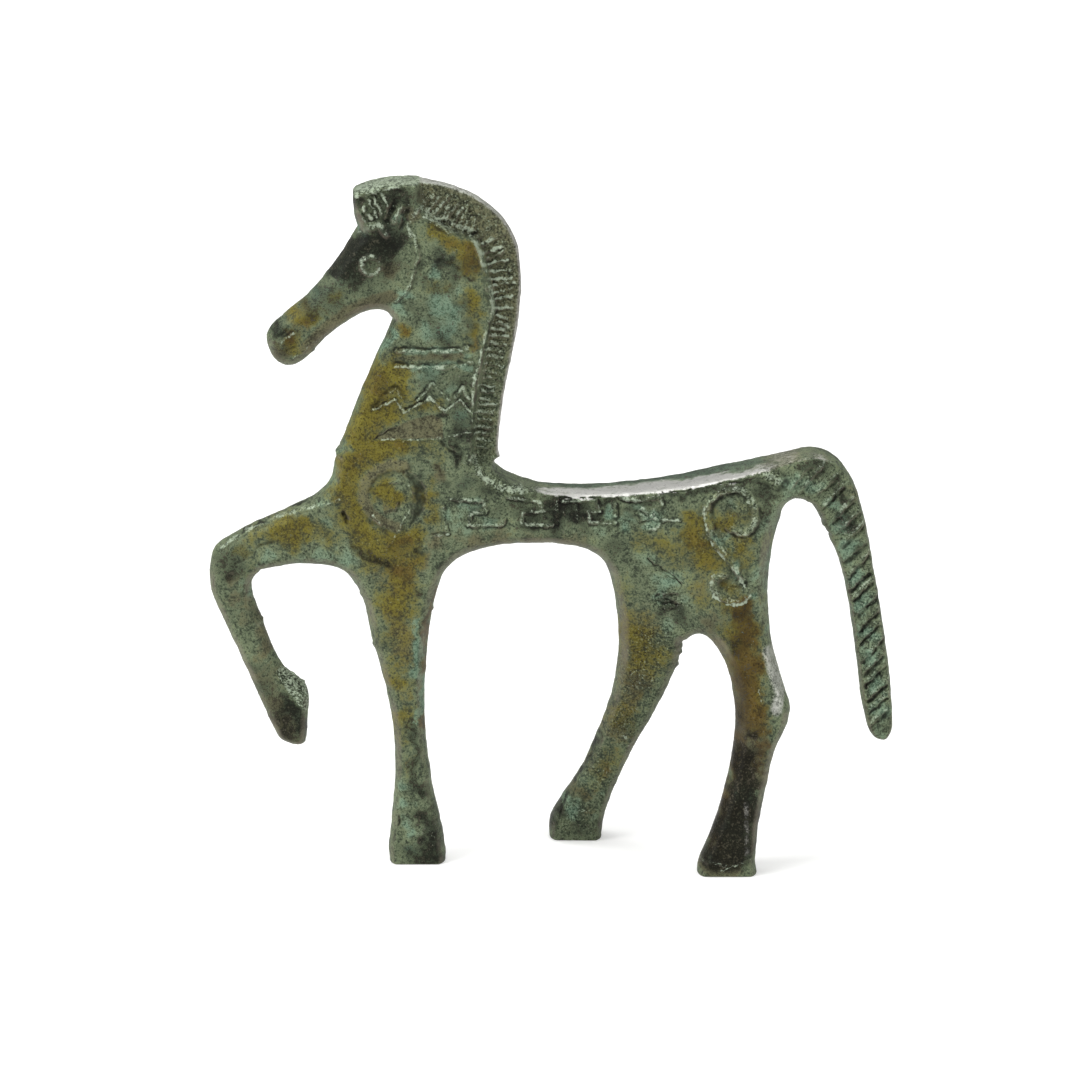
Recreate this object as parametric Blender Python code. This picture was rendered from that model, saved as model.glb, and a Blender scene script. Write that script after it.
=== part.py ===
"""A small bronze horse in the Greek geometric style, cast in one piece.

The figure is a flat casting: one closed outline in the XZ plane, with the nose at -X and the
tail at +X, given its thickness along Y. The near side is at -Y. The legs are bent out of the
plane so that three soles stand on Z = 0, and the fourth leg is lifted. All sizes are in
millimetres until the mesh is made, and metres after that.
"""

from math import cos, radians, sin

import bmesh
import bpy
import numpy as np
from mathutils import Vector, geometry, kdtree

MM = 0.001

# Half thicknesses of the casting, measured from its middle surface
MUZZLE_HALF = 3.1
HEAD_HALF = 3.9
FORELOCK_HALF = 5.4
NECK_HALF = 4.0
MANE_HALF = 1.5
MANE_FRONT_HALF = 2.7
CHEST_HALF = 4.9
BARREL_HALF = 4.6
RUMP_HALF = 6.7
THIGH_HALF = 4.6
SHANK_HALF = 3.5
FORE_SHANK_HALF = 3.2
LIFTED_LEG_HALF = 2.8
TAIL_HALF = 2.6

# How far the feet stand out of the middle plane
NEAR_FOOT_OFFSET = -9.8
FAR_FOOT_OFFSET = 10.8
FORE_FOOT_OFFSET = -3.0
LIFTED_LEG_OFFSET = 2.0

# How far in from the outline the edges are rounded
PLATE_EDGE = 0.7
HOOF_EDGE = 1.3
NECK_EDGE = 1.7
BELLY_EDGE = 2.4
LIMB_EDGE = 3.0

# The feet are drawn below the ground and cut off flat at Z = 0
BELOW_GROUND = -3.0

# Relief of the ornament: a groove has a negative height
LINE_HEIGHT = 0.4
LINE_HALF_WIDTH = 0.55
SCROLL_HALF_WIDTH = 0.8
EYE_HALF_WIDTH = 0.45
GROOVE_DEPTH = -0.4
FLANK_REACH = 1.5

# Fineness of the mesh: steps along the outline, the face and the ornament, and how close two
# points of one kind may come to each other
OUTLINE_STEP = 1.6
FIELD_STEP = 2.2
STROKE_STEP = 1.3
EDGE_ANGLES = (35.0, 65.0, 90.0)
ROW_RATIO = 0.866
STROKE_ROOM = 0.6
EDGE_ROOM = 0.75
FIELD_ROOM = 0.62
EDGE_KEPT = 0.86
EDGE_CLEAR = 0.5

# How far the thickness of one part of the body blends into the next
FIELD_BLUR = 6.0

# The outline runs down the front, along the bottom, up the hind side and forward over the top.
# Each stretch is a smooth curve through its points, and ends at the first point of the next.
# A stretch is: its points, and the edge rounding at its start and at its end.
FORELOCK = (((-31.1, 108.3), (-30.9, 104.8), (-30.3, 102.4)), PLATE_EDGE, 2.0)
FACE = (
    (
        (-30.3, 102.4), (-31.0, 101.3), (-33.7, 97.1), (-37.9, 92.0), (-41.6, 88.8),
        (-44.2, 86.4), (-44.9, 84.7), (-44.5, 82.8), (-43.4, 81.1), (-41.5, 80.3),
        (-39.3, 81.0), (-35.5, 84.8), (-31.7, 87.5), (-28.2, 89.1), (-26.0, 88.9),
    ),
    2.6,
    2.4,
)
THROAT_AND_CHEST = (
    (
        (-24.9, 87.8), (-25.7, 85.7), (-27.7, 81.5), (-30.7, 74.5), (-33.6, 66.8),
        (-35.1, 61.7), (-36.4, 60.1), (-38.3, 58.7),
    ),
    NECK_EDGE,
    NECK_EDGE,
)
LIFTED_KNEE = (
    (
        (-42.0, 56.8), (-46.5, 54.7), (-51.0, 52.4), (-53.7, 50.2), (-54.6, 47.0),
        (-54.3, 43.3), (-51.8, 37.2), (-48.6, 29.9), (-46.2, 24.0),
    ),
    NECK_EDGE,
    2.3,
)
LIFTED_TOE = (((-44.3, 20.0), (-43.4, 18.7), (-41.9, 18.1), (-40.7, 17.9)), 1.6, HOOF_EDGE)
LIFTED_HEEL = (
    (
        (-39.6, 18.2), (-39.2, 21.9), (-39.0, 26.0), (-39.7, 28.0), (-43.0, 30.8),
        (-44.6, 33.8), (-46.4, 38.9), (-47.8, 43.4), (-47.6, 45.2), (-46.3, 46.5),
    ),
    HOOF_EDGE,
    2.2,
)
FORE_ARCH = (
    ((-43.7, 47.2), (-39.4, 47.9), (-35.5, 47.8), (-32.8, 46.8), (-30.9, 44.4)),
    2.2,
    2.4,
)
FORE_SHIN = (
    (
        (-29.7, 41.5), (-28.8, 37.0), (-26.8, 29.9), (-25.3, 22.0), (-25.0, 14.5),
        (-25.6, 7.0), (-26.1, 2.6), (-26.0, 0.6),
    ),
    2.4,
    HOOF_EDGE,
)
FORE_SOLE = (((-25.6, BELOW_GROUND), (-17.4, BELOW_GROUND)), HOOF_EDGE, HOOF_EDGE)
FORE_BACK = (
    (
        (-17.0, 0.9), (-17.6, 5.0), (-18.9, 11.5), (-19.9, 18.7), (-20.3, 25.5),
        (-20.0, 32.0), (-19.4, 38.5), (-18.2, 43.9), (-16.9, 47.1), (-14.6, 49.3),
    ),
    HOOF_EDGE,
    BELLY_EDGE,
)
BELLY = (
    ((-12.0, 50.5), (-8.0, 51.4), (-3.0, 51.7), (1.5, 51.5), (5.5, 50.6), (7.9, 49.0)),
    BELLY_EDGE,
    BELLY_EDGE,
)
FAR_SHANK_FRONT = (
    (
        (9.2, 46.4), (10.3, 41.2), (10.8, 35.3), (10.5, 29.5), (9.5, 24.5), (7.5, 18.3),
        (4.6, 11.6), (1.6, 6.6), (-0.2, 3.1), (-0.3, 1.4),
    ),
    BELLY_EDGE,
    HOOF_EDGE,
)
FAR_SOLE = (((0.0, BELOW_GROUND), (8.2, BELOW_GROUND)), HOOF_EDGE, HOOF_EDGE)
FAR_SHANK_BACK = (
    (
        (8.2, 0.7), (8.8, 4.0), (10.6, 9.5), (13.1, 15.4), (15.9, 20.8), (18.5, 26.3),
        (20.4, 31.6), (21.0, 34.0),
    ),
    HOOF_EDGE,
    2.6,
)
HIND_ARCH = (((22.1, 36.1), (23.8, 36.9), (25.2, 36.2), (27.2, 33.7)), 2.4, 2.6)
NEAR_SHANK_FRONT = (
    (
        (28.6, 30.0), (29.2, 24.5), (28.9, 19.5), (27.5, 13.0), (25.5, 6.8), (23.7, 2.3),
        (23.3, 0.7),
    ),
    LIMB_EDGE,
    HOOF_EDGE,
)
NEAR_SOLE = (((23.3, BELOW_GROUND), (32.6, BELOW_GROUND)), HOOF_EDGE, HOOF_EDGE)
NEAR_SHANK_BACK = (
    (
        (32.5, 1.8), (33.0, 7.7), (34.2, 13.8), (35.6, 19.4), (37.4, 23.3), (37.9, 26.0),
        (37.0, 29.6), (35.3, 35.3), (34.5, 40.5), (34.4, 46.0), (35.0, 50.9), (36.1, 55.3),
    ),
    HOOF_EDGE,
    LIMB_EDGE,
)
TAIL_ARCH = (
    ((37.0, 57.9), (38.4, 58.9), (40.2, 58.7), (41.4, 57.8), (43.0, 55.0)),
    2.0,
    1.2,
)
TAIL_INNER = (
    (
        (44.1, 52.6), (45.4, 49.5), (46.8, 44.8), (48.0, 38.0), (48.8, 32.0), (49.6, 26.2),
        (50.3, 23.1), (51.1, 20.6), (52.1, 19.5), (53.7, 19.3), (54.6, 20.6), (54.8, 23.5),
    ),
    PLATE_EDGE,
    PLATE_EDGE,
)
TAIL_OUTER = (
    (
        (54.4, 28.0), (53.5, 34.4), (52.2, 42.4), (50.8, 50.6), (49.1, 58.2), (47.5, 62.1),
        (45.5, 64.9), (43.3, 66.2), (41.0, 66.6),
    ),
    PLATE_EDGE,
    PLATE_EDGE,
)
BACK = (
    (
        (38.2, 66.0), (33.4, 64.7), (26.8, 63.3), (18.5, 61.6), (10.1, 60.7), (2.5, 60.6),
        (-4.0, 61.4), (-7.0, 62.6),
    ),
    PLATE_EDGE,
    PLATE_EDGE,
)
MANE_END = (((-8.9, 64.0), (-9.0, 65.0)), PLATE_EDGE, PLATE_EDGE)
CREST = (
    (
        (-8.3, 65.6), (-8.3, 68.1), (-7.6, 74.9), (-6.2, 82.0), (-5.0, 89.5), (-4.7, 94.5),
        (-5.2, 98.7), (-6.9, 102.6), (-9.9, 105.8), (-14.0, 108.2), (-19.0, 109.7),
        (-24.1, 109.9), (-28.2, 109.3),
    ),
    PLATE_EDGE,
    PLATE_EDGE,
)

# Stretches between two brackets join smoothly: a corner is only where a bracket ends
OUTLINE = (
    (FORELOCK,),
    (FACE,),
    (THROAT_AND_CHEST, LIFTED_KNEE, LIFTED_TOE),
    (LIFTED_HEEL, FORE_ARCH, FORE_SHIN),
    (FORE_SOLE,),
    (FORE_BACK, BELLY, FAR_SHANK_FRONT),
    (FAR_SOLE,),
    (FAR_SHANK_BACK, HIND_ARCH, NEAR_SHANK_FRONT),
    (NEAR_SOLE,),
    (NEAR_SHANK_BACK, TAIL_ARCH, TAIL_INNER, TAIL_OUTER, BACK),
    (MANE_END,),
    (CREST,),
)

# The body of the casting: a place in the side view, its half thickness and its offset along Y
BODY = {
    "muzzle": (-43.0, 83.5, MUZZLE_HALF, 0.0),
    "nose": (-38.5, 87.0, 3.5, 0.0),
    "brow": (-32.5, 95.0, HEAD_HALF, 0.0),
    "cheek": (-27.0, 93.0, HEAD_HALF, 0.0),
    "forelock": (-28.0, 107.0, FORELOCK_HALF, 0.0),
    "poll": (-25.0, 104.0, 5.0, 0.0),
    "upper_neck": (-17.0, 97.0, NECK_HALF, 0.0),
    "middle_neck": (-17.0, 85.0, NECK_HALF, 0.0),
    "lower_neck": (-20.0, 74.0, NECK_HALF, 0.0),
    "chest": (-28.0, 62.0, CHEST_HALF, 0.0),
    "shoulder": (-20.0, 58.0, CHEST_HALF, 0.0),
    "withers": (-8.0, 58.0, 4.5, 0.0),
    "barrel": (2.0, 56.0, BARREL_HALF, 0.0),
    "loin": (14.0, 56.0, 5.2, 0.0),
    "croup": (27.0, 59.0, RUMP_HALF, 0.0),
    "rump": (34.0, 60.0, 6.2, 0.0),
    "haunch": (28.0, 50.0, RUMP_HALF, -0.5),
    "flank": (21.0, 43.0, 5.8, 0.2),
    "near_thigh": (31.0, 39.0, THIGH_HALF, -2.8),
    "near_gaskin": (33.0, 29.0, 3.9, -5.0),
    "near_hock": (33.8, 22.0, 3.8, -6.4),
    "near_shank": (31.0, 11.0, SHANK_HALF, -8.4),
    "near_foot": (28.0, 1.0, SHANK_HALF, NEAR_FOOT_OFFSET),
    "far_thigh": (15.0, 41.0, THIGH_HALF, 2.8),
    "far_gaskin": (15.0, 29.0, 3.8, 4.8),
    "far_hock": (11.5, 20.0, SHANK_HALF, 6.6),
    "far_shank": (6.5, 10.0, SHANK_HALF, 8.4),
    "far_foot": (4.0, 1.0, SHANK_HALF, FAR_FOOT_OFFSET),
    "forearm": (-24.5, 43.0, 4.0, -0.6),
    "fore_knee": (-23.5, 28.0, 3.4, -1.5),
    "fore_shank": (-22.3, 14.0, FORE_SHANK_HALF, -2.3),
    "fore_foot": (-21.6, 1.0, 3.4, FORE_FOOT_OFFSET),
    "lifted_arm": (-38.0, 53.0, 3.6, 1.0),
    "lifted_knee": (-50.0, 48.0, LIFTED_LEG_HALF, LIFTED_LEG_OFFSET),
    "lifted_shank": (-48.5, 37.0, LIFTED_LEG_HALF, LIFTED_LEG_OFFSET),
    "lifted_foot": (-42.0, 23.0, LIFTED_LEG_HALF, LIFTED_LEG_OFFSET),
    "tail_root": (42.0, 62.5, 4.4, 0.0),
    "upper_tail": (46.5, 56.0, 3.3, 0.0),
    "middle_tail": (49.5, 42.0, TAIL_HALF, 0.0),
    "lower_tail": (52.0, 27.0, 2.4, 0.0),
}

# The border where the thick neck steps down to the thin mane, and where the mane grows thicker
# again towards the forelock
MANE_BORDER = (
    (-20.6, 110.5), (-20.3, 105.6), (-17.7, 103.1), (-14.5, 101.5), (-11.9, 99.8),
    (-10.1, 95.5), (-9.1, 90.2), (-9.9, 85.3), (-10.7, 81.2), (-11.7, 75.0), (-12.3, 68.0),
    (-12.6, 63.0),
)
MANE_STEP = 0.5
MANE_FRONT = (14.0, 21.0)
WITHERS = 65.0

# The running key along the barrel: its first unit, how far each unit goes right, back and right
# again, its three levels, and the little foot in front of it
KEY_START = -15.9
KEY_PERIOD = 9.0
KEY_BAR = 5.2
KEY_RETURN = 2.9
KEY_END = 8.2
KEY_TOP = 59.3
KEY_MIDDLE = 57.2
KEY_BOTTOM = 55.2
KEY_UNITS = 3
KEY_FOOT = ((-18.9, 53.8), (-16.8, 53.8))

# The grooves across the tail
TAIL_GROOVES = 6
TAIL_GROOVE_TOP = (48.9, 47.6)
TAIL_GROOVE_STEP = (0.65, -4.2)
TAIL_GROOVE_REACH = 1.7


def curve_through(points, per_span=12):
    """Points on a smooth curve that passes through the given points."""
    pts = [np.array(p, dtype=float) for p in points]
    count = len(pts)
    if count == 2:
        return [pts[0] + (pts[1] - pts[0]) * k / per_span for k in range(per_span + 1)]
    out = []
    for i in range(count - 1):
        b, c = pts[i], pts[i + 1]
        a = pts[i - 1] if i else 2 * b - c
        d = pts[i + 2] if i + 2 < count else 2 * c - b
        knots = [0.0]
        for p, q in ((a, b), (b, c), (c, d)):
            knots.append(knots[-1] + max(np.linalg.norm(q[:2] - p[:2]), 1e-6) ** 0.5)
        t0, t1, t2, t3 = knots
        for k in range(per_span):
            t = t1 + (t2 - t1) * k / per_span
            ab = ((t1 - t) * a + (t - t0) * b) / (t1 - t0)
            bc = ((t2 - t) * b + (t - t1) * c) / (t2 - t1)
            cd = ((t3 - t) * c + (t - t2) * d) / (t3 - t2)
            abc = ((t2 - t) * ab + (t - t0) * bc) / (t2 - t0)
            bcd = ((t3 - t) * bc + (t - t1) * cd) / (t3 - t1)
            out.append(((t2 - t) * abc + (t - t1) * bcd) / (t2 - t1))
    out.append(pts[-1])
    return out


def resampled(points, step):
    """The same path with points at even steps, and its ends kept."""
    pts = np.array(points)
    lengths = np.linalg.norm(np.diff(pts[:, :2], axis=0), axis=1)
    along = np.concatenate([[0.0], np.cumsum(lengths)])
    pieces = max(1, round(along[-1] / step))
    wanted = np.linspace(0.0, along[-1], pieces + 1)
    return np.stack([np.interp(wanted, along, pts[:, k]) for k in range(pts.shape[1])], axis=1)


def outline_loop(step):
    """The closed outline as rows of x, z and edge rounding."""
    runs = []
    for bracket in OUTLINE:
        run = []
        for points, start_edge, end_edge in bracket:
            last = len(points) - 1
            for k, (x, z) in enumerate(points):
                run.append((x, z, start_edge + (end_edge - start_edge) * k / last))
        runs.append(run)
    loop = []
    for run, following in zip(runs, runs[1:] + runs[:1]):
        path = run + [following[0]] if run[-1][:2] != following[0][:2] else run
        loop.extend(resampled(curve_through(path), step)[:-1])
    return np.array(loop)


def body_field(x, z):
    """Half thickness and Y offset of the casting before its edges are rounded."""
    places = np.array(list(BODY.values()))
    gap = (x[:, None] - places[:, 0]) ** 2 + (z[:, None] - places[:, 1]) ** 2
    gap -= gap.min(axis=1, keepdims=True)
    weight = np.exp(-gap / (2 * FIELD_BLUR**2))
    weight /= weight.sum(axis=1, keepdims=True)
    return weight @ places[:, 2], weight @ places[:, 3]


def arc(x, z, radius, start, end, step=30.0):
    """Points on an arc of a circle, its angles in degrees from +X towards +Z."""
    count = max(2, round(abs(end - start) / step))
    angles = [radians(start + (end - start) * k / count) for k in range(count + 1)]
    return [(x + radius * cos(a), z + radius * sin(a)) for a in angles]


def running_key():
    """The key pattern: each unit goes right, down, back, down and right again."""
    path = [*KEY_FOOT, (KEY_FOOT[1][0], KEY_TOP)]
    for unit in range(KEY_UNITS):
        left = KEY_START + unit * KEY_PERIOD
        path += [(left + KEY_BAR, KEY_TOP), (left + KEY_BAR, KEY_MIDDLE)]
        path += [(left + KEY_RETURN, KEY_MIDDLE), (left + KEY_RETURN, KEY_BOTTOM)]
        path += [(left + KEY_END, KEY_BOTTOM), (left + KEY_END, KEY_TOP)]
    return path


def zigzag(x, z, pitch, rise, teeth):
    """A zigzag of whole teeth that starts and ends low."""
    path = [(x, z)]
    for tooth in range(teeth):
        path += [(x + (tooth + 0.5) * pitch, z + rise), (x + (tooth + 1) * pitch, z)]
    return path


def ornament():
    """Every raised line and groove: its path, half width and height."""
    line = (LINE_HALF_WIDTH, LINE_HEIGHT)
    scroll = (SCROLL_HALF_WIDTH, LINE_HEIGHT)
    strokes = {
        "eye": (arc(-28.1, 96.9, 1.5, 0, 360), EYE_HALF_WIDTH, LINE_HEIGHT),
        "nostril": (((-42.5, 83.8), (-40.4, 85.5)), *line),
        "cheek": (((-22.1, 102.8), (-21.3, 99.0), (-21.9, 95.0), (-24.6, 90.8)), *line),
        "mane_strap": (MANE_BORDER[1:8], *line),
        "upper_collar": (((-25.0, 83.2), (-19.5, 83.0), (-12.8, 83.6)), *line),
        "lower_collar": (((-24.0, 80.7), (-19.5, 80.3), (-12.0, 81.1)), *line),
        "upper_zigzag": (zigzag(-27.0, 75.4, 4.7, 2.5, 3), *line),
        "lower_zigzag": (zigzag(-28.0, 73.4, 5.0, 2.0, 3), *line),
        "breast_line": (((-28.0, 68.8), (-20.0, 68.8), (-12.0, 69.4)), *line),
        "shoulder_ring": (arc(-25.4, 60.3, 4.9, 20, 300), *line),
        "shoulder_curl": (arc(-23.9, 59.2, 2.2, 90, 330), *line),
        "running_key": (running_key(), *line),
        "hip_stem": (((24.7, 55.6), (25.7, 53.2), (27.9, 50.1), (29.9, 46.8)), *scroll),
        "hip_curl": (arc(28.3, 45.8, 2.7, -10, -250), *scroll),
        "croup_curl": (arc(28.6, 57.6, 3.9, 200, -30), *scroll),
        "croup_hook": (((32.0, 55.6), (30.6, 54.6), (28.6, 55.4)), *scroll),
    }
    for k in range(TAIL_GROOVES):
        x = TAIL_GROOVE_TOP[0] + k * TAIL_GROOVE_STEP[0]
        z = TAIL_GROOVE_TOP[1] + k * TAIL_GROOVE_STEP[1]
        reach = TAIL_GROOVE_REACH
        cut = ((x - reach, z - reach), (x + reach, z + reach))
        strokes[f"tail_groove_{k + 1}"] = (cut, LINE_HALF_WIDTH, GROOVE_DEPTH)
    return strokes


def relief(x, z):
    """Height of the ornament above the plain face."""
    raised = np.zeros(len(x))
    sunk = np.zeros(len(x))
    for path, half_width, height in ornament().values():
        gap = path_distance(path, x, z)
        bump = np.clip(1.0 - (gap / (FLANK_REACH * half_width)) ** 2, 0.0, 1.0) * height
        raised = np.maximum(raised, bump)
        sunk = np.minimum(sunk, bump)
    return raised + sunk


def smooth_step(value, low, high):
    t = np.clip((value - low) / (high - low), 0.0, 1.0)
    return t * t * (3 - 2 * t)


def path_distance(path, x, z):
    """Distance to a path, negative on its left."""
    best = np.full(len(x), np.inf)
    side = np.ones(len(x))
    for (ax, az), (bx, bz) in zip(path[:-1], path[1:]):
        dx, dz = bx - ax, bz - az
        t = np.clip(((x - ax) * dx + (z - az) * dz) / (dx * dx + dz * dz), 0.0, 1.0)
        gap = np.hypot(x - ax - t * dx, z - az - t * dz)
        closer = gap < best
        best = np.where(closer, gap, best)
        side = np.where(closer, np.sign(dz * (x - ax) - dx * (z - az)), side)
    return best * side


def mane_share(x, z):
    """1 on the thin mane, 0 on the thick neck."""
    border = resampled(curve_through(MANE_BORDER), 1.0)
    gap = path_distance(border, x, z)
    above_withers = smooth_step(z, WITHERS - 1.0, WITHERS + 1.0) * (x < 0)
    return smooth_step(-gap, -MANE_STEP, MANE_STEP) * above_withers


def edge_profile(inset):
    """Rise of the surface from the outline, 0 at the edge and 1 past the rounding."""
    u = np.clip(inset, 0.0, 1.0)
    return np.sqrt(1.0 - (1.0 - u) ** 2)


class Outline:
    """The outline and the distance of any point in the side view from it."""

    def __init__(self, step):
        self.points = outline_loop(step)
        fine = outline_loop(step / 6)
        self.edges = fine[:, 2]
        self.tree = kdtree.KDTree(len(fine))
        for k, (x, z, _) in enumerate(fine):
            self.tree.insert(Vector((x, z, 0.0)), k)
        self.tree.balance()

    def inset(self, x, z):
        """Distance from the outline and the edge rounding there."""
        found = [self.tree.find(Vector((px, pz, 0.0))) for px, pz in zip(x, z)]
        gap = np.array([hit[2] for hit in found])
        edge = self.edges[[hit[1] for hit in found]]
        return gap, edge


def field_points(outline):
    """Where the two faces get their vertices, besides the outline itself."""
    ring = outline.points
    before = np.roll(ring[:, :2], 1, axis=0)
    after = np.roll(ring[:, :2], -1, axis=0)
    along = after - before
    along /= np.linalg.norm(along, axis=1, keepdims=True)
    inward = np.stack([-along[:, 1], along[:, 0]], axis=1)
    kept = []
    taken = {}

    def offer(px, pz, clearance):
        """Keep a point unless another one is too close to it."""
        cell = (int(px // 1.0), int(pz // 1.0))
        for cx in range(cell[0] - 2, cell[0] + 3):
            for cz in range(cell[1] - 2, cell[1] + 3):
                for qx, qz, room in taken.get((cx, cz), ()):
                    if (px - qx) ** 2 + (pz - qz) ** 2 < min(clearance, room) ** 2:
                        return
        taken.setdefault(cell, []).append((px, pz, clearance))
        kept.append((px, pz))

    for path, half_width, _ in ornament().values():
        rows = resampled(path, STROKE_STEP)
        run = np.gradient(rows, axis=0)
        run /= np.maximum(np.linalg.norm(run, axis=1, keepdims=True), 1e-9)
        across = np.stack([-run[:, 1], run[:, 0]], axis=1)
        for shift in (0.0, -FLANK_REACH * half_width, FLANK_REACH * half_width):
            spots = rows + across * shift
            gap, _ = outline.inset(spots[:, 0], spots[:, 1])
            within = inside_loop(ring, spots[:, 0], spots[:, 1])
            for (px, pz), reached, held in zip(spots, gap, within):
                if held and reached > EDGE_CLEAR:
                    offer(px, pz, STROKE_ROOM * (half_width + EDGE_CLEAR))
    for angle in EDGE_ANGLES:
        inset = ring[:, 2] * (1 - cos(radians(angle)))
        spots = ring[:, :2] + inward * inset[:, None]
        gap, _ = outline.inset(spots[:, 0], spots[:, 1])
        for (px, pz), reached, wanted in zip(spots, gap, inset):
            if reached > EDGE_KEPT * wanted:
                offer(px, pz, EDGE_ROOM * min(wanted * 2, OUTLINE_STEP))
    low = ring[:, :2].min(axis=0)
    high = ring[:, :2].max(axis=0)
    rows = int((high[1] - low[1]) / (FIELD_STEP * ROW_RATIO)) + 1
    columns = int((high[0] - low[0]) / FIELD_STEP) + 1
    grid = [
        (low[0] + (column + 0.5 * (row % 2)) * FIELD_STEP, low[1] + row * FIELD_STEP * ROW_RATIO)
        for row in range(rows)
        for column in range(columns)
    ]
    gx, gz = np.array(grid).T
    gap, edge = outline.inset(gx, gz)
    inside = inside_loop(ring, gx, gz) & (gap > edge * STROKE_ROOM + EDGE_CLEAR)
    for px, pz in zip(gx[inside], gz[inside]):
        offer(px, pz, FIELD_ROOM * FIELD_STEP)
    return kept


def inside_loop(loop, x, z):
    """Which points lie inside a closed loop."""
    crossed = np.zeros(len(x), dtype=bool)
    following = np.roll(loop, -1, axis=0)
    for (ax, az, _), (bx, bz, _) in zip(loop, following):
        if az == bz:
            continue
        spans = (az > z) != (bz > z)
        meets = (bx - ax) * (z - az) / (bz - az) + ax
        crossed ^= spans & (x < meets)
    return crossed


def surface(outline, x, z):
    """Y of the near and far faces over points of the side view."""
    half, middle = body_field(x, z)
    front = smooth_step(-x, *MANE_FRONT)
    mane_half = MANE_HALF + (MANE_FRONT_HALF - MANE_HALF) * front
    half = half + (mane_half - half) * mane_share(x, z)
    gap, edge = outline.inset(x, z)
    rise = (half + relief(x, z)) * edge_profile(gap / edge)
    return middle - rise, middle + rise


def horse_mesh():
    """The whole casting as one closed mesh."""
    outline = Outline(OUTLINE_STEP)
    ring = outline.points
    count = len(ring)
    spots = [Vector((x, z)) for x, z, _ in ring]
    spots += [Vector(p) for p in field_points(outline)]
    loop_edges = [(k, (k + 1) % count) for k in range(count)]
    flat, _, faces, origins, _, _ = geometry.delaunay_2d_cdt(spots, loop_edges, [], 1, 1e-5)
    x = np.array([p[0] for p in flat])
    z = np.array([p[1] for p in flat])
    on_edge = np.array([any(k < count for k in ids) for ids in origins])
    near, far = surface(outline, x, z)
    middle = (near + far) / 2
    mesh = bmesh.new()
    near_verts = []
    far_verts = []
    for k in range(len(flat)):
        if on_edge[k]:
            vert = mesh.verts.new((x[k] * MM, middle[k] * MM, z[k] * MM))
            near_verts.append(vert)
            far_verts.append(vert)
        else:
            near_verts.append(mesh.verts.new((x[k] * MM, near[k] * MM, z[k] * MM)))
            far_verts.append(mesh.verts.new((x[k] * MM, far[k] * MM, z[k] * MM)))
    for a, b, c in faces:
        mesh.faces.new((near_verts[a], near_verts[b], near_verts[c]))
        mesh.faces.new((far_verts[a], far_verts[c], far_verts[b]))
    return mesh


def cut_feet(mesh):
    """Cut the standing feet flat at the ground."""
    everything = mesh.verts[:] + mesh.edges[:] + mesh.faces[:]
    bmesh.ops.bisect_plane(
        mesh, geom=everything, plane_co=(0, 0, 0), plane_no=(0, 0, -1), clear_outer=True
    )
    rims = [edge for edge in mesh.edges if edge.is_boundary]
    bmesh.ops.holes_fill(mesh, edges=rims, sides=0)
    bmesh.ops.dissolve_degenerate(mesh, dist=1e-6, edges=mesh.edges[:])
    bmesh.ops.triangulate(mesh, faces=mesh.faces[:])
    bmesh.ops.recalc_face_normals(mesh, faces=mesh.faces[:])


def centre_on_origin(mesh):
    """Put the middle of the figure's box over the origin, with the soles on Z = 0."""
    places = np.array([vert.co for vert in mesh.verts])
    low, high = places.min(axis=0), places.max(axis=0)
    shift = Vector((-(low[0] + high[0]) / 2, -(low[1] + high[1]) / 2, -low[2]))
    bmesh.ops.translate(mesh, verts=mesh.verts[:], vec=shift)


def bronze():
    material = bpy.data.materials.new("patinated_bronze")
    material.use_nodes = True
    shader = material.node_tree.nodes["Principled BSDF"]
    shader.inputs["Base Color"].default_value = (0.12, 0.14, 0.10, 1.0)
    shader.inputs["Roughness"].default_value = 0.5
    shader.inputs["Metallic"].default_value = 0.6
    return material


def main():
    for thing in list(bpy.data.objects):
        bpy.data.objects.remove(thing, do_unlink=True)
    shape = horse_mesh()
    cut_feet(shape)
    centre_on_origin(shape)
    data = bpy.data.meshes.new("bronze_horse")
    shape.to_mesh(data)
    shape.free()
    data.shade_smooth()
    data.set_sharp_from_angle(angle=radians(40))
    data.materials.append(bronze())
    bpy.context.scene.collection.objects.link(bpy.data.objects.new("bronze_horse", data))


main()
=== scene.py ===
"""A small bronze horse in the Greek geometric style, cast in one piece and green with age.

The casting is drawn as one closed outline in the XZ plane, with the nose at -X and the tail at +X,
and its thickness lies along Y with the near side at -Y. It stands on Z = 0. Sizes are in
millimetres, and the finished mesh is in metres.
"""

from math import cos, radians, sin

import bmesh
import bpy
import numpy as np
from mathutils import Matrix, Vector, geometry, kdtree


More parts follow.
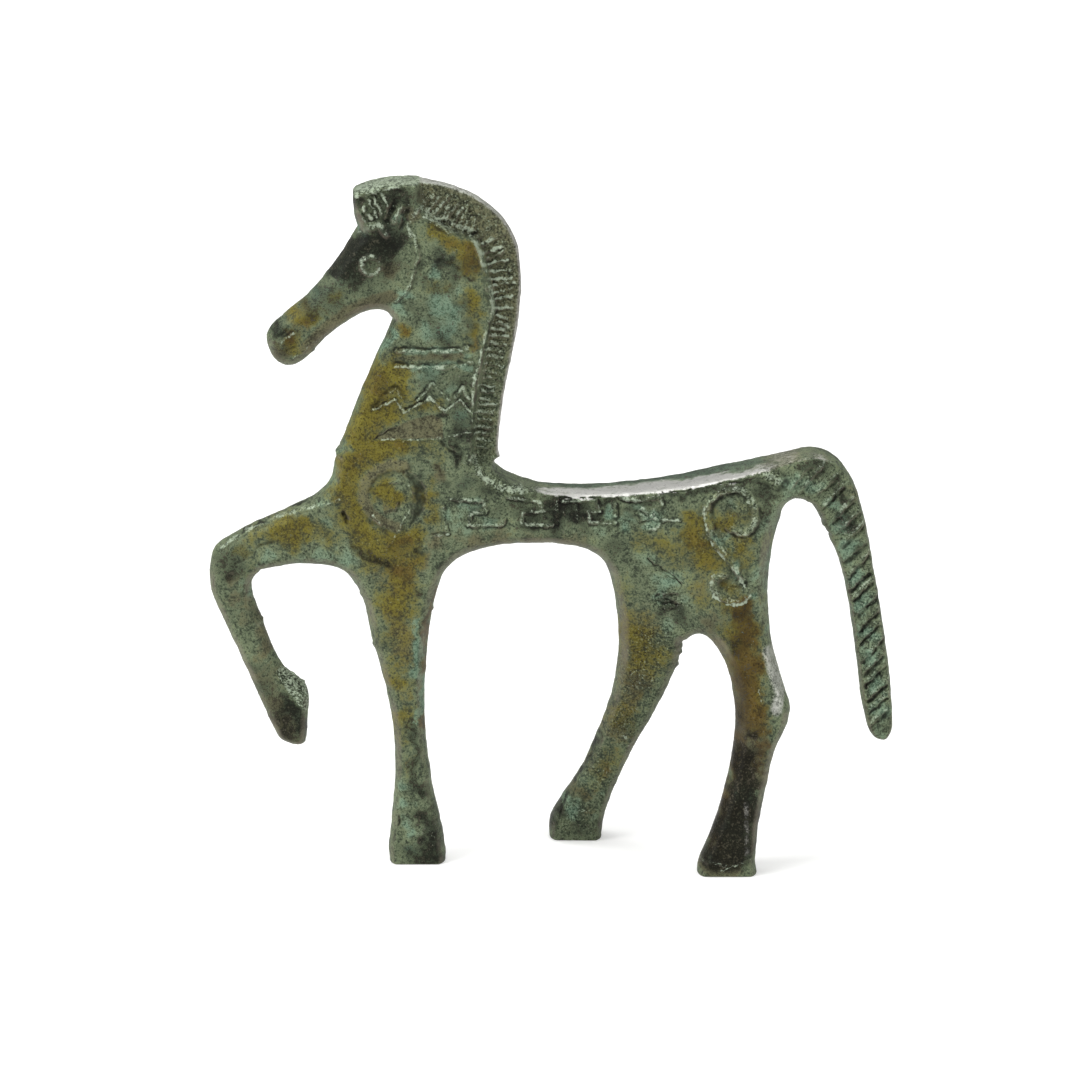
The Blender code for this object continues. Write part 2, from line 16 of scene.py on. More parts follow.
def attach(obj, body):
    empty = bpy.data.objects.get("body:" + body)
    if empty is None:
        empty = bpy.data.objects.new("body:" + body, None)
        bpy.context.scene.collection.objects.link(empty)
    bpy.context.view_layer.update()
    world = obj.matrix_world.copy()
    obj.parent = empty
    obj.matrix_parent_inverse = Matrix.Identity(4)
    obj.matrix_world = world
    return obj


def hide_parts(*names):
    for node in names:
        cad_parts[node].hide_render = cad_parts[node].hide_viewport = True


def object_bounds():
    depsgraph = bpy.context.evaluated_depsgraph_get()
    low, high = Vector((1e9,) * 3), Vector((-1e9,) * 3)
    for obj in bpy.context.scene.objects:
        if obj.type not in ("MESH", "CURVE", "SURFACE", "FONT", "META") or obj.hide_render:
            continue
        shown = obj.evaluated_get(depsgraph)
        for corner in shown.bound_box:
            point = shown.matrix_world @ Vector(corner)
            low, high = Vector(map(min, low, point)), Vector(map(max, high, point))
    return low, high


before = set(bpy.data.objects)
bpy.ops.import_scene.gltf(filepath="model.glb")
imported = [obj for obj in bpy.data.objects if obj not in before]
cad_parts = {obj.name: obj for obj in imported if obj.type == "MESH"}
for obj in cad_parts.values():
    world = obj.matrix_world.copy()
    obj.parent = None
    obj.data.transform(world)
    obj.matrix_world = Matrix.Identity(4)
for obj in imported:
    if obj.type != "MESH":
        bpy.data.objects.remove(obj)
cad_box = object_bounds()

MM = 0.001

# Half thicknesses of the casting, measured from its middle surface
MUZZLE_HALF = 3.1
HEAD_HALF = 3.9
FORELOCK_HALF = 5.4
NECK_HALF = 4.0
MANE_HALF = 1.5
MANE_FRONT_HALF = 2.7
CHEST_HALF = 4.9
BARREL_HALF = 4.6
RUMP_HALF = 6.7
THIGH_HALF = 4.6
SHANK_HALF = 3.5
FORE_SHANK_HALF = 3.2
LIFTED_LEG_HALF = 2.8
TAIL_HALF = 2.6

# How far the feet stand out of the middle plane
NEAR_FOOT_OFFSET = -9.8
FAR_FOOT_OFFSET = 10.8
FORE_FOOT_OFFSET = -3.0
LIFTED_LEG_OFFSET = 2.0

# How far in from the outline the edges are rounded
PLATE_EDGE = 0.7
HOOF_EDGE = 1.3
NECK_EDGE = 1.7
BELLY_EDGE = 2.4
LIMB_EDGE = 3.0

# The feet are drawn below the ground and cut off flat at Z = 0
BELOW_GROUND = -3.0

# Fineness of the mesh: points on each span of a curve, step along the outline, width of the band of
# rings inside it, and for each side the spacing of its net and the step of its rings in degrees
POINTS_PER_SPAN = 12
OUTLINE_STEP = 0.4
RING_BAND = 0.45
NEAR_NET = (0.325, 6.0)
FAR_NET = (0.5, 10.0)

# The points of the net keep this share of a ring's depth or of the net's spacing from the outline
RING_CLEARANCE = 0.9
NET_CLEARANCE = 0.35
NET_ROW = 0.866
NET_START = 0.013

# Each line gets rows of points of its own, at these shares of its half width
LINE_SPACING = 0.3
LINE_ROWS = (-1.3, -0.65, 0.0, 0.65, 1.3)
LINE_CLEARANCE = 0.1
PATH_STEP = 0.5

# How softly the thickness changes from one place of the body to the next
FIELD_BLUR = 6.0

# The outline runs down the front, along the bottom, up the hind side and forward over the top.
# Each stretch is a smooth curve through its points, and ends at the first point of the next.
# A stretch is: its points, and the edge rounding at its start and at its end.
FORELOCK = (((-31.1, 108.3), (-30.9, 104.8), (-30.3, 102.4)), PLATE_EDGE, 2.0)
FACE = (
    (
        (-30.3, 102.4), (-31.0, 101.3), (-33.7, 97.1), (-37.9, 92.0), (-41.6, 88.8),
        (-44.2, 86.4), (-44.9, 84.7), (-44.5, 82.8), (-43.4, 81.1), (-41.5, 80.3),
        (-39.3, 81.0), (-35.5, 84.8), (-31.7, 87.5), (-28.2, 89.1), (-26.0, 88.9),
    ),
    2.6,
    2.4,
)
THROAT_AND_CHEST = (
    (
        (-24.9, 87.8), (-25.7, 85.7), (-27.7, 81.5), (-30.7, 74.5), (-33.6, 66.8),
        (-35.1, 61.7), (-36.4, 60.1), (-38.3, 58.7),
    ),
    NECK_EDGE,
    NECK_EDGE,
)
LIFTED_KNEE = (
    (
        (-42.0, 56.8), (-46.5, 54.7), (-51.0, 52.4), (-53.7, 50.2), (-54.6, 47.0),
        (-54.3, 43.3), (-51.8, 37.2), (-48.6, 29.9), (-46.2, 24.0),
    ),
    NECK_EDGE,
    2.3,
)
LIFTED_TOE = (((-44.3, 20.0), (-43.4, 18.7), (-41.9, 18.1), (-40.7, 17.9)), 1.6, HOOF_EDGE)
LIFTED_HEEL = (
    (
        (-39.6, 18.2), (-39.2, 21.9), (-39.0, 26.0), (-39.7, 28.0), (-43.0, 30.8),
        (-44.6, 33.8), (-46.4, 38.9), (-47.8, 43.4), (-47.6, 45.2), (-46.3, 46.5),
    ),
    HOOF_EDGE,
    2.2,
)
FORE_ARCH = (
    ((-43.7, 47.2), (-39.4, 47.9), (-35.5, 47.8), (-32.8, 46.8), (-30.9, 44.4)),
    2.2,
    2.4,
)
FORE_SHIN = (
    (
        (-29.7, 41.5), (-28.8, 37.0), (-26.8, 29.9), (-25.3, 22.0), (-25.0, 14.5),
        (-25.6, 7.0), (-26.1, 2.6), (-26.0, 0.6),
    ),
    2.4,
    HOOF_EDGE,
)
FORE_SOLE = (((-25.6, BELOW_GROUND), (-17.4, BELOW_GROUND)), HOOF_EDGE, HOOF_EDGE)
FORE_BACK = (
    (
        (-17.0, 0.9), (-17.6, 5.0), (-18.9, 11.5), (-19.9, 18.7), (-20.3, 25.5),
        (-20.0, 32.0), (-19.4, 38.5), (-18.2, 43.9), (-16.9, 47.1), (-14.6, 49.3),
    ),
    HOOF_EDGE,
    BELLY_EDGE,
)
BELLY = (
    ((-12.0, 50.5), (-8.0, 51.4), (-3.0, 51.7), (1.5, 51.5), (5.5, 50.6), (7.9, 49.0)),
    BELLY_EDGE,
    BELLY_EDGE,
)
FAR_SHANK_FRONT = (
    (
        (9.2, 46.4), (10.3, 41.2), (10.8, 35.3), (10.5, 29.5), (9.5, 24.5), (7.5, 18.3),
        (4.6, 11.6), (1.6, 6.6), (-0.2, 3.1), (-0.3, 1.4),
    ),
    BELLY_EDGE,
    HOOF_EDGE,
)
FAR_SOLE = (((0.0, BELOW_GROUND), (8.2, BELOW_GROUND)), HOOF_EDGE, HOOF_EDGE)
FAR_SHANK_BACK = (
    (
        (8.2, 0.7), (8.8, 4.0), (10.6, 9.5), (13.1, 15.4), (15.9, 20.8), (18.5, 26.3),
        (20.4, 31.6), (21.0, 34.0),
    ),
    HOOF_EDGE,
    2.6,
)
HIND_ARCH = (((22.1, 36.1), (23.8, 36.9), (25.2, 36.2), (27.2, 33.7)), 2.4, 2.6)
NEAR_SHANK_FRONT = (
    (
        (28.6, 30.0), (29.2, 24.5), (28.9, 19.5), (27.5, 13.0), (25.5, 6.8), (23.7, 2.3),
        (23.3, 0.7),
    ),
    LIMB_EDGE,
    HOOF_EDGE,
)
NEAR_SOLE = (((23.3, BELOW_GROUND), (32.6, BELOW_GROUND)), HOOF_EDGE, HOOF_EDGE)
NEAR_SHANK_BACK = (
    (
        (32.5, 1.8), (33.0, 7.7), (34.2, 13.8), (35.6, 19.4), (37.4, 23.3), (37.9, 26.0),
        (37.0, 29.6), (35.3, 35.3), (34.5, 40.5), (34.4, 46.0), (35.0, 50.9), (36.1, 55.3),
    ),
    HOOF_EDGE,
    LIMB_EDGE,
)
TAIL_ARCH = (
    ((37.0, 57.9), (38.4, 58.9), (40.2, 58.7), (41.4, 57.8), (43.0, 55.0)),
    2.0,
    1.2,
)
TAIL_INNER = (
    (
        (44.1, 52.6), (45.4, 49.5), (46.8, 44.8), (48.0, 38.0), (48.8, 32.0), (49.6, 26.2),
        (50.3, 23.1), (51.1, 20.6), (52.1, 19.5), (53.7, 19.3), (54.6, 20.6), (54.8, 23.5),
    ),
    PLATE_EDGE,
    PLATE_EDGE,
)
TAIL_OUTER = (
    (
        (54.4, 28.0), (53.5, 34.4), (52.2, 42.4), (50.8, 50.6), (49.1, 58.2), (47.5, 62.1),
        (45.5, 64.9), (43.3, 66.2), (41.0, 66.6),
    ),
    PLATE_EDGE,
    PLATE_EDGE,
)
BACK = (
    (
        (38.2, 66.0), (33.4, 64.7), (26.8, 63.3), (18.5, 61.6), (10.1, 60.7), (2.5, 60.6),
        (-4.0, 61.4), (-7.0, 62.6),
    ),
    PLATE_EDGE,
    PLATE_EDGE,
)
MANE_END = (((-8.9, 64.0), (-9.0, 65.0)), PLATE_EDGE, PLATE_EDGE)
CREST = (
    (
        (-8.3, 65.6), (-8.3, 68.1), (-7.6, 74.9), (-6.2, 82.0), (-5.0, 89.5), (-4.7, 94.5),
        (-5.2, 98.7), (-6.9, 102.6), (-9.9, 105.8), (-14.0, 108.2), (-19.0, 109.7),
        (-24.1, 109.9), (-28.2, 109.3),
    ),
    PLATE_EDGE,
    PLATE_EDGE,
)

# Stretches between two brackets join smoothly: a corner is only where a bracket ends
OUTLINE = (
    (FORELOCK,),
    (FACE,),
    (THROAT_AND_CHEST, LIFTED_KNEE, LIFTED_TOE),
    (LIFTED_HEEL, FORE_ARCH, FORE_SHIN),
    (FORE_SOLE,),
    (FORE_BACK, BELLY, FAR_SHANK_FRONT),
    (FAR_SOLE,),
    (FAR_SHANK_BACK, HIND_ARCH, NEAR_SHANK_FRONT),
    (NEAR_SOLE,),
    (NEAR_SHANK_BACK, TAIL_ARCH, TAIL_INNER, TAIL_OUTER, BACK),
    (MANE_END,),
    (CREST,),
)

# The body of the casting: a place in the side view, its half thickness and its offset along Y
BODY = {
    "muzzle": (-43.0, 83.5, MUZZLE_HALF, 0.0),
    "nose": (-38.5, 87.0, 3.5, 0.0),
    "brow": (-32.5, 95.0, HEAD_HALF, 0.0),
    "cheek": (-27.0, 93.0, HEAD_HALF, 0.0),
    "forelock": (-28.0, 107.0, FORELOCK_HALF, 0.0),
    "poll": (-25.0, 104.0, 5.0, 0.0),
    "upper_neck": (-17.0, 97.0, NECK_HALF, 0.0),
    "middle_neck": (-17.0, 85.0, NECK_HALF, 0.0),
    "lower_neck": (-20.0, 74.0, NECK_HALF, 0.0),
    "chest": (-28.0, 62.0, CHEST_HALF, 0.0),
    "shoulder": (-20.0, 58.0, CHEST_HALF, 0.0),
    "withers": (-8.0, 58.0, 4.5, 0.0),
    "barrel": (2.0, 56.0, BARREL_HALF, 0.0),
    "loin": (14.0, 56.0, 5.2, 0.0),
    "croup": (27.0, 59.0, RUMP_HALF, 0.0),
    "rump": (34.0, 60.0, 6.2, 0.0),
    "haunch": (28.0, 50.0, RUMP_HALF, -0.5),
    "flank": (21.0, 43.0, 5.8, 0.2),
    "near_thigh": (31.0, 39.0, THIGH_HALF, -2.8),
    "near_gaskin": (33.0, 29.0, 3.9, -5.0),
    "near_hock": (33.8, 22.0, 3.8, -6.4),
    "near_shank": (31.0, 11.0, SHANK_HALF, -8.4),
    "near_foot": (28.0, 1.0, SHANK_HALF, NEAR_FOOT_OFFSET),
    "far_thigh": (15.0, 41.0, THIGH_HALF, 2.8),
    "far_gaskin": (15.0, 29.0, 3.8, 4.8),
    "far_hock": (11.5, 20.0, SHANK_HALF, 6.6),
    "far_shank": (6.5, 10.0, SHANK_HALF, 8.4),
    "far_foot": (4.0, 1.0, SHANK_HALF, FAR_FOOT_OFFSET),
    "forearm": (-24.5, 43.0, 4.0, -0.6),
    "fore_knee": (-23.5, 28.0, 3.4, -1.5),
    "fore_shank": (-22.3, 14.0, FORE_SHANK_HALF, -2.3),
    "fore_foot": (-21.6, 1.0, 3.4, FORE_FOOT_OFFSET),
    "lifted_arm": (-38.0, 53.0, 3.6, 1.0),
    "lifted_knee": (-50.0, 48.0, LIFTED_LEG_HALF, LIFTED_LEG_OFFSET),
    "lifted_shank": (-48.5, 37.0, LIFTED_LEG_HALF, LIFTED_LEG_OFFSET),
    "lifted_foot": (-42.0, 23.0, LIFTED_LEG_HALF, LIFTED_LEG_OFFSET),
    "tail_root": (42.0, 62.5, 4.4, 0.0),
    "upper_tail": (46.5, 56.0, 3.3, 0.0),
    "middle_tail": (49.5, 42.0, TAIL_HALF, 0.0),
    "lower_tail": (52.0, 27.0, 2.4, 0.0),
}
# The border where the thick neck steps down to the thin mane, from the poll to the withers
MANE_BORDER = (
    (-20.6, 110.5), (-20.3, 105.8), (-17.7, 103.3), (-14.5, 101.6), (-12.0, 100.6),
    (-10.4, 97.2), (-9.6, 93.0), (-8.9, 89.9), (-9.8, 86.2), (-10.5, 81.4), (-11.7, 75.0),
    (-12.3, 68.0), (-12.6, 63.0),
)

# The step down to the mane reaches this far to each side of its border, and ends at the withers
MANE_STEP = 0.5
WITHERS = 65.0
WITHERS_BORDER = 1.0

# The mane grows thicker towards the forelock between these distances in front of X = 0
MANE_FRONT = (14.0, 21.0)

# Ribs across the mane: how far apart they are, the plain rim above them, the heights between which
# they are clear, how strong the others are, and the ranges that chance picks from
RIB_PITCH = 1.12
RIM_OF_MANE = 0.9
CLEAR_RIBS = (84.0, 99.0)
FAINT_RIB = 0.6
RIB_HOLLOW = -0.28
RIB = {
    "lean": (-0.1, 0.1),
    "start": (0.0, 0.6),
    "reach": (0.6, 1.0),
    "bend": (-0.22, 0.22),
    "paleness": (0.85, 1.5),
    "half_width": (0.24, 0.4),
    "height": (0.3, 0.55),
    "gutter_darkness": (0.0, 0.4),
}
GUTTER = (0.15, -0.2)

# Lines that stand up from the sides: half width, height, how pale their worn crest is, how dark
# the dirt and painted shade beside them is (darker above them where that is positive, below where
# negative, as under a light from above), and path
RAISED = {
    "nostril": (0.3, 0.3, 0.55, 0.8, ((-42.3, 84.2), (-41.2, 85.2), (-40.1, 85.9))),
    "chin": (0.2, 0.1, 0.35, 0.0, ((-40.6, 81.6), (-38.6, 83.2), (-36.6, 84.9), (-34.6, 86.5))),
    "cheek": (
        0.27, 0.24, 0.45, -0.8,
        (
            (-22.2, 102.8), (-21.3, 101.2), (-20.9, 99.4), (-20.9, 97.6), (-21.5, 95.4),
            (-22.2, 93.5), (-23.1, 92.2), (-24.3, 91.2),
        ),
    ),
    "poll_strap": (
        0.32, 0.3, 0.6, -0.4,
        ((-20.5, 106.2), (-21.6, 104.3), (-22.4, 103.0), (-21.8, 101.4)),
    ),
    "forelock_band": (
        0.65, 0.35, 0.5, -0.5,
        (
            (-29.9, 101.9), (-29.1, 102.9), (-27.9, 102.9), (-26.7, 103.3), (-26.3, 102.4),
            (-25.8, 101.8),
        ),
    ),
    "forelock_lock_1": (
        0.26, 0.4, 0.85, -0.7,
        ((-29.1, 106.2), (-28.9, 105.2), (-28.3, 104.6), (-27.8, 104.2)),
    ),
    "forelock_lock_2": (
        0.26, 0.45, 0.75, -0.9,
        ((-27.6, 107.5), (-27.3, 106.5), (-26.6, 105.8), (-26.3, 105.0)),
    ),
    "forelock_lock_3": (0.26, 0.4, 0.9, -0.7, ((-26.5, 108.2), (-26.0, 107.2), (-25.4, 106.3))),
    "forelock_lock_4": (
        0.24, 0.3, 0.8, -0.7,
        ((-28.3, 107.2), (-28.0, 106.2), (-27.4, 105.4), (-27.1, 104.4)),
    ),
    "forelock_lock_5": (0.2, 0.3, 0.5, -0.6, ((-29.6, 105.0), (-29.2, 104.1), (-28.8, 103.6))),
    "forelock_edge": (
        0.4, 0.25, 0.7, -0.6,
        ((-30.6, 107.7), (-29.2, 108.0), (-27.6, 108.5), (-25.6, 109.0), (-23.6, 109.1)),
    ),
    "ear": (0.45, 0.4, 0.6, -0.8, ((-24.5, 103.8), (-24.0, 104.9), (-23.4, 105.9))),
    "mane_front_1": (0.42, 0.45, 0.95, -0.9, ((-20.3, 105.9), (-19.0, 104.7), (-17.2, 103.8))),
    "mane_front_2": (0.55, 0.5, 1.05, -0.9, ((-16.9, 104.0), (-15.4, 102.9), (-14.0, 102.3), (-12.3, 101.9))),
    "mane_front_3": (0.26, 0.3, 1.0, -0.7, ((-19.6, 104.4), (-17.8, 103.0), (-15.6, 102.0))),
    "mane_back": (
        0.56, 0.42, 0.85, -0.8,
        (
            (-12.2, 100.9), (-11.3, 99.2), (-10.6, 97.4), (-10.0, 95.2), (-9.7, 93.0),
            (-9.3, 91.4), (-9.2, 89.9), (-9.6, 88.3),
        ),
    ),
    "mane_back_low": (
        0.3, 0.3, 0.8, -0.9,
        (
            (-9.6, 88.3), (-10.2, 86.4), (-10.4, 84.8), (-11.0, 82.7), (-11.5, 80.4), (-12.1, 78.6),
            (-12.4, 72.0),
        ),
    ),
    "upper_collar": (0.34, 0.3, 0.62, 0.9, ((-24.3, 83.2), (-20.0, 83.1), (-16.0, 83.2), (-12.9, 83.6))),
    "lower_collar": (
        0.34, 0.3, 0.6, 0.9,
        ((-24.3, 80.9), (-21.5, 80.6), (-18.0, 80.5), (-15.0, 80.8), (-12.4, 81.4)),
    ),
    "lower_zigzag": (
        0.22, 0.35, 0.9, 1.0,
        (
            (-27.9, 73.7), (-24.5, 75.5), (-23.2, 73.4), (-19.0, 75.7), (-16.7, 73.5),
            (-14.4, 75.4), (-12.9, 73.5),
        ),
    ),
    "upper_zigzag_1": (0.16, 0.2, 0.5, 0.6, ((-25.4, 76.4), (-24.4, 77.1), (-23.2, 75.6))),
    "upper_zigzag_2": (0.28, 0.28, 0.5, 0.9, ((-20.9, 75.4), (-18.7, 78.0), (-16.2, 75.4))),
    "upper_zigzag_3": (0.26, 0.28, 0.5, 0.9, ((-15.0, 75.8), (-13.8, 77.3), (-12.9, 75.5))),
    "breast_line": (0.18, 0.16, 0.5, -0.5, ((-26.6, 69.2), (-22.0, 69.0), (-17.0, 69.3))),
    "breast_line_end": (0.26, 0.25, 0.85, 0.5, ((-16.2, 69.5), (-14.6, 69.8), (-12.6, 70.2))),
    "shoulder_ring": (
        0.8, 0.22, 0.1, -0.5,
        (
            (-23.2, 64.9), (-25.2, 65.1), (-27.6, 64.1), (-29.3, 62.1), (-29.7, 59.5),
            (-28.4, 57.2), (-26.6, 55.9), (-24.4, 55.0),
        ),
    ),
    "shoulder_curl": (
        0.2, 0.2, 0.32, -0.5,
        (
            (-27.0, 62.0), (-25.0, 62.4), (-22.8, 62.2), (-22.1, 60.5), (-22.2, 58.4),
            (-23.3, 56.1), (-24.2, 54.4), (-25.0, 52.9), (-26.0, 51.5),
        ),
    ),
    "shoulder_glint": (0.32, 0.3, 0.7, 0.5, ((-28.4, 57.0), (-27.7, 56.2), (-26.9, 55.6))),
    "key_foot": (0.2, 0.26, 0.8, 0.7, ((-19.0, 53.7), (-16.5, 53.9))),
    "key_post": (0.32, 0.2, 0.25, -0.9, ((-17.1, 58.4), (-16.5, 54.2))),
    "key_1": (
        0.34, 0.36, 0.62, -0.9,
        (
            (-15.9, 59.6), (-10.6, 59.3), (-10.3, 57.5), (-12.8, 57.3), (-13.0, 55.4), (-7.6, 55.5),
            (-7.5, 56.3),
        ),
    ),
    "key_2": (
        0.34, 0.36, 0.6, -0.9,
        ((-6.9, 59.9), (-2.1, 59.3), (-1.2, 57.6), (-4.6, 57.4), (-4.7, 55.5), (0.2, 55.4)),
    ),
    "key_2_post": (0.3, 0.3, 0.25, -1.0, ((0.9, 59.6), (0.8, 55.7))),
    "key_3": (
        0.34, 0.36, 0.6, -0.9,
        ((1.9, 59.2), (6.9, 59.5), (7.5, 57.7), (5.9, 57.7), (6.0, 55.8), (10.0, 55.7)),
    ),
    "key_3_stem": (0.28, 0.3, 0.35, -1.0, ((3.9, 58.7), (4.0, 56.2))),
    "key_3_post": (0.3, 0.32, 0.45, -1.0, ((10.1, 58.8), (10.2, 56.9))),
    "key_4": (
        0.34, 0.38, 0.85, -0.9,
        ((11.0, 59.9), (13.1, 59.5), (16.2, 59.8), (17.2, 60.2), (17.4, 59.0)),
    ),
    "key_4_star_1": (0.3, 0.3, 0.75, -0.6, ((14.2, 58.2), (15.4, 57.0), (16.6, 56.4))),
    "key_4_star_2": (0.26, 0.3, 0.8, -0.6, ((14.0, 56.1), (15.6, 56.6), (16.4, 57.9))),
    "key_4_star_3": (0.24, 0.28, 0.9, -0.5, ((15.4, 54.9), (16.4, 54.9), (17.0, 55.6))),
    "key_4_end": (0.28, 0.32, 0.75, -0.8, ((17.3, 56.4), (20.1, 56.5))),
    "hip_scroll": (
        0.68, 0.62, 0.42, -0.9,
        (
            (27.9, 55.7), (29.0, 54.9), (30.6, 54.8), (31.7, 55.7), (32.1, 57.4), (31.8, 59.4),
            (30.7, 61.0), (29.2, 61.7), (26.7, 61.2), (25.0, 60.0), (24.4, 58.2), (24.9, 55.7),
            (25.8, 53.4), (27.4, 51.2), (28.8, 49.4), (30.1, 47.0),
        ),
    ),
    "hip_curl": (
        0.58, 0.62, 0.42, -0.5,
        (
            (27.6, 47.9), (26.4, 47.4), (25.8, 46.0), (26.3, 44.6), (27.7, 43.8), (29.3, 43.8),
            (30.6, 44.4), (31.0, 45.3),
        ),
    ),
    "hip_glint_1": (0.26, 0.12, 0.9, 0.0, ((25.3, 59.5), (26.6, 60.7), (28.4, 61.2), (29.6, 61.3))),
    "hip_glint_2": (0.2, 0.12, 0.8, 0.0, ((30.2, 60.8), (31.3, 58.9))),
    "hip_glint_3": (0.26, 0.12, 0.85, 0.0, ((28.0, 55.2), (29.2, 54.4), (31.0, 54.4))),
    "hip_glint_4": (
        0.27, 0.16, 1.15, 0.0,
        ((23.9, 58.6), (24.2, 55.6), (25.1, 53.3), (26.8, 51.0), (28.3, 49.2), (29.8, 47.2), (30.4, 45.9)),
    ),
    "hip_glint_5": (
        0.3, 0.16, 1.15, 0.0,
        ((25.6, 47.7), (25.1, 46.0), (25.8, 44.1), (27.8, 43.0), (30.2, 43.3), (31.4, 44.4)),
    ),
    "withers_ridge": (
        0.9, 0.35, 0.6, -0.5,
        ((-12.3, 66.0), (-11.3, 63.6), (-8.9, 61.9), (-6.5, 61.2), (-3.5, 60.7)),
    ),
    "back_burr": (1.1, 0.35, 0.6, -0.8, ((33.9, 63.8), (34.8, 63.1), (35.6, 62.7))),
    "near_hoof_lip": (0.32, 0.25, 0.25, 0.6, ((23.2, 2.5), (26.1, 2.1), (29.2, 1.7), (31.5, 2.9))),
    "near_hoof_scratch": (0.16, 0.12, 0.5, 0.0, ((27.1, 1.1), (28.9, 1.5), (30.2, 2.2), (31.6, 2.9))),
    "hock_mark": (0.45, 0.12, 0.6, -0.4, ((11.8, 18.6), (12.9, 17.8), (12.5, 16.9))),
    "hock_scratch": (0.14, 0.1, 0.9, 0.0, ((32.9, 29.6), (33.2, 27.6))),
    # The pale crest of this line is a painted highlight along the top edge of the lifted leg
    "upper_arm_arris": (
        0.3, 0.2, 0.5, -0.4,
        (
            (-33.4, 59.3), (-37.0, 58.1), (-39.5, 57.3), (-42.8, 55.9), (-46.5, 54.4), (-50.4, 52.2),
            (-52.6, 50.6),
        ),
    ),
}

# Lines and marks cut into the sides: half width, depth, how dark they are painted with dirt and shade, and
# path
CUT = {
    "nostril_cut": (0.4, 0.3, 0.8, ((-43.2, 84.9), (-41.2, 86.5))),
    "nostril_under": (0.35, 0.15, 0.5, ((-41.9, 82.9), (-40.3, 83.8))),
    "cheek_gutter": (0.3, 0.2, 0.5, ((-20.2, 99.6), (-20.1, 97.6), (-20.6, 95.6), (-21.4, 93.8))),
    "ear_front": (0.55, 0.5, 0.9, ((-25.6, 103.9), (-24.9, 105.5), (-24.0, 107.0))),
    "ear_back": (0.5, 0.45, 0.9, ((-23.5, 102.7), (-22.9, 104.0), (-22.3, 105.6))),
    "forehead_cut": (0.9, 0.3, 0.5, ((-30.4, 101.0), (-28.2, 101.5), (-25.9, 100.9), (-24.0, 99.7))),
    "neck_crack_1": (0.2, 0.16, 0.45, ((-18.9, 97.8), (-15.9, 97.3), (-13.4, 95.0), (-11.0, 93.2))),
    "neck_crack_2": (0.22, 0.14, 0.4, ((-18.0, 96.6), (-16.8, 95.2), (-16.4, 93.6))),
    "collar_band": (0.45, 0.18, 0.25, ((-24.0, 82.1), (-20.0, 81.9), (-14.0, 82.4))),
    "zigzag_shade_1": (
        0.34, 0.25, 0.7,
        ((-27.9, 74.2), (-26.2, 76.4), (-24.5, 77.6), (-23.1, 76.4), (-22.8, 75.0)),
    ),
    "zigzag_shade_2": (0.3, 0.2, 0.5, ((-22.4, 74.9), (-19.0, 76.9), (-16.9, 74.6))),
    "zigzag_shade_3": (0.25, 0.2, 0.45, ((-16.0, 75.2), (-14.3, 76.4), (-12.7, 74.5))),
    "wedge_tip": (0.16, 0.15, 0.8, ((-27.9, 69.1), (-26.4, 70.0), (-24.4, 70.9))),
    "shoulder_slit": (0.26, 0.35, 0.8, ((-23.9, 58.9), (-24.5, 57.5))),
    "breast_pit": (0.4, 0.5, 1.1, ((-32.8, 57.2), (-32.5, 55.5))),
    "withers_cut": (0.4, 0.25, 0.8, ((-17.4, 68.9), (-16.2, 67.4), (-15.0, 66.4), (-14.8, 64.6))),
    "scroll_eye": (0.5, 0.2, 0.6, ((27.3, 46.5), (27.2, 45.7))),
    "back_edge": (
        0.16, 0.14, 0.9,
        ((2.0, 59.9), (9.0, 60.0), (15.0, 60.8), (20.5, 61.1), (24.0, 62.2), (30.0, 62.8), (33.0, 63.9)),
    ),
    "flank_crack_1": (
        0.15, 0.35, 1.0,
        ((15.3, 49.9), (16.2, 49.0), (17.0, 48.7), (17.9, 47.9), (19.2, 47.3), (20.6, 45.9)),
    ),
    "flank_crack_2": (0.13, 0.2, 0.7, ((17.2, 48.1), (18.0, 47.2), (19.4, 46.6))),
    "flank_pit_1": (0.24, 0.3, 0.9, ((16.6, 43.6), (17.6, 44.0), (18.6, 43.7), (19.8, 44.1))),
    "flank_pit_2": (0.2, 0.3, 0.9, ((17.0, 42.8), (18.2, 42.4), (19.4, 42.9))),
    "flank_pit_3": (0.18, 0.25, 0.8, ((17.8, 43.2), (18.9, 43.0), (20.0, 42.2))),
    "flank_pit_4": (0.16, 0.2, 0.7, ((17.6, 41.5), (18.6, 41.2), (19.8, 41.5))),
    "knee_crease": (0.5, 0.25, 0.6, ((-50.0, 48.3), (-48.4, 49.6), (-46.4, 51.0), (-44.3, 51.8))),
    "arm_crack_1": (0.12, 0.15, 1.0, ((-51.8, 51.3), (-49.0, 53.2), (-46.0, 54.9), (-44.9, 55.4))),
    "arm_crack_2": (0.12, 0.15, 1.0, ((-42.4, 56.8), (-39.4, 58.0), (-37.2, 58.7))),
    # A painted dark line where the side of the far foot turns away
    "far_hoof_corner": (0.22, 0.15, 0.9, ((8.4, 20.4), (6.2, 14.5), (2.8, 8.2), (0.9, 2.8))),
}

# Lines that keep the corners of their path, by the start of their name
STRAIGHT = ("key", "lower_zigzag", "upper_zigzag", "zigzag_shade", "flank")

# The far side goes without the lines that have one of these words in their name
PLAIN_FAR_SIDE = (
    "forelock_lock", "forehead", "nostril_under", "chin", "glint", "scratch", "pit", "crack", "mark",
    "zigzag_", "collar_band", "wedge", "withers_cut", "back_", "arris", "line",
    "corner", "star", "mane_front_3",
)

# Across a line, as shares of its half width and a rest in millimetres: where its flank begins and
# ends, where its pale crest does, and where the band of dirt and painted shade beside it begins, is
# full, fades and ends
FLANK = ((0.3, 0.0), (1.35, 0.0))
PALE_CREST = ((0.15, 0.03), (0.9, 0.08))
HOLLOW_START = ((0.6, 0.0), (1.1, 0.0))
HOLLOW_END = ((1.3, 0.0), (2.0, 0.25))
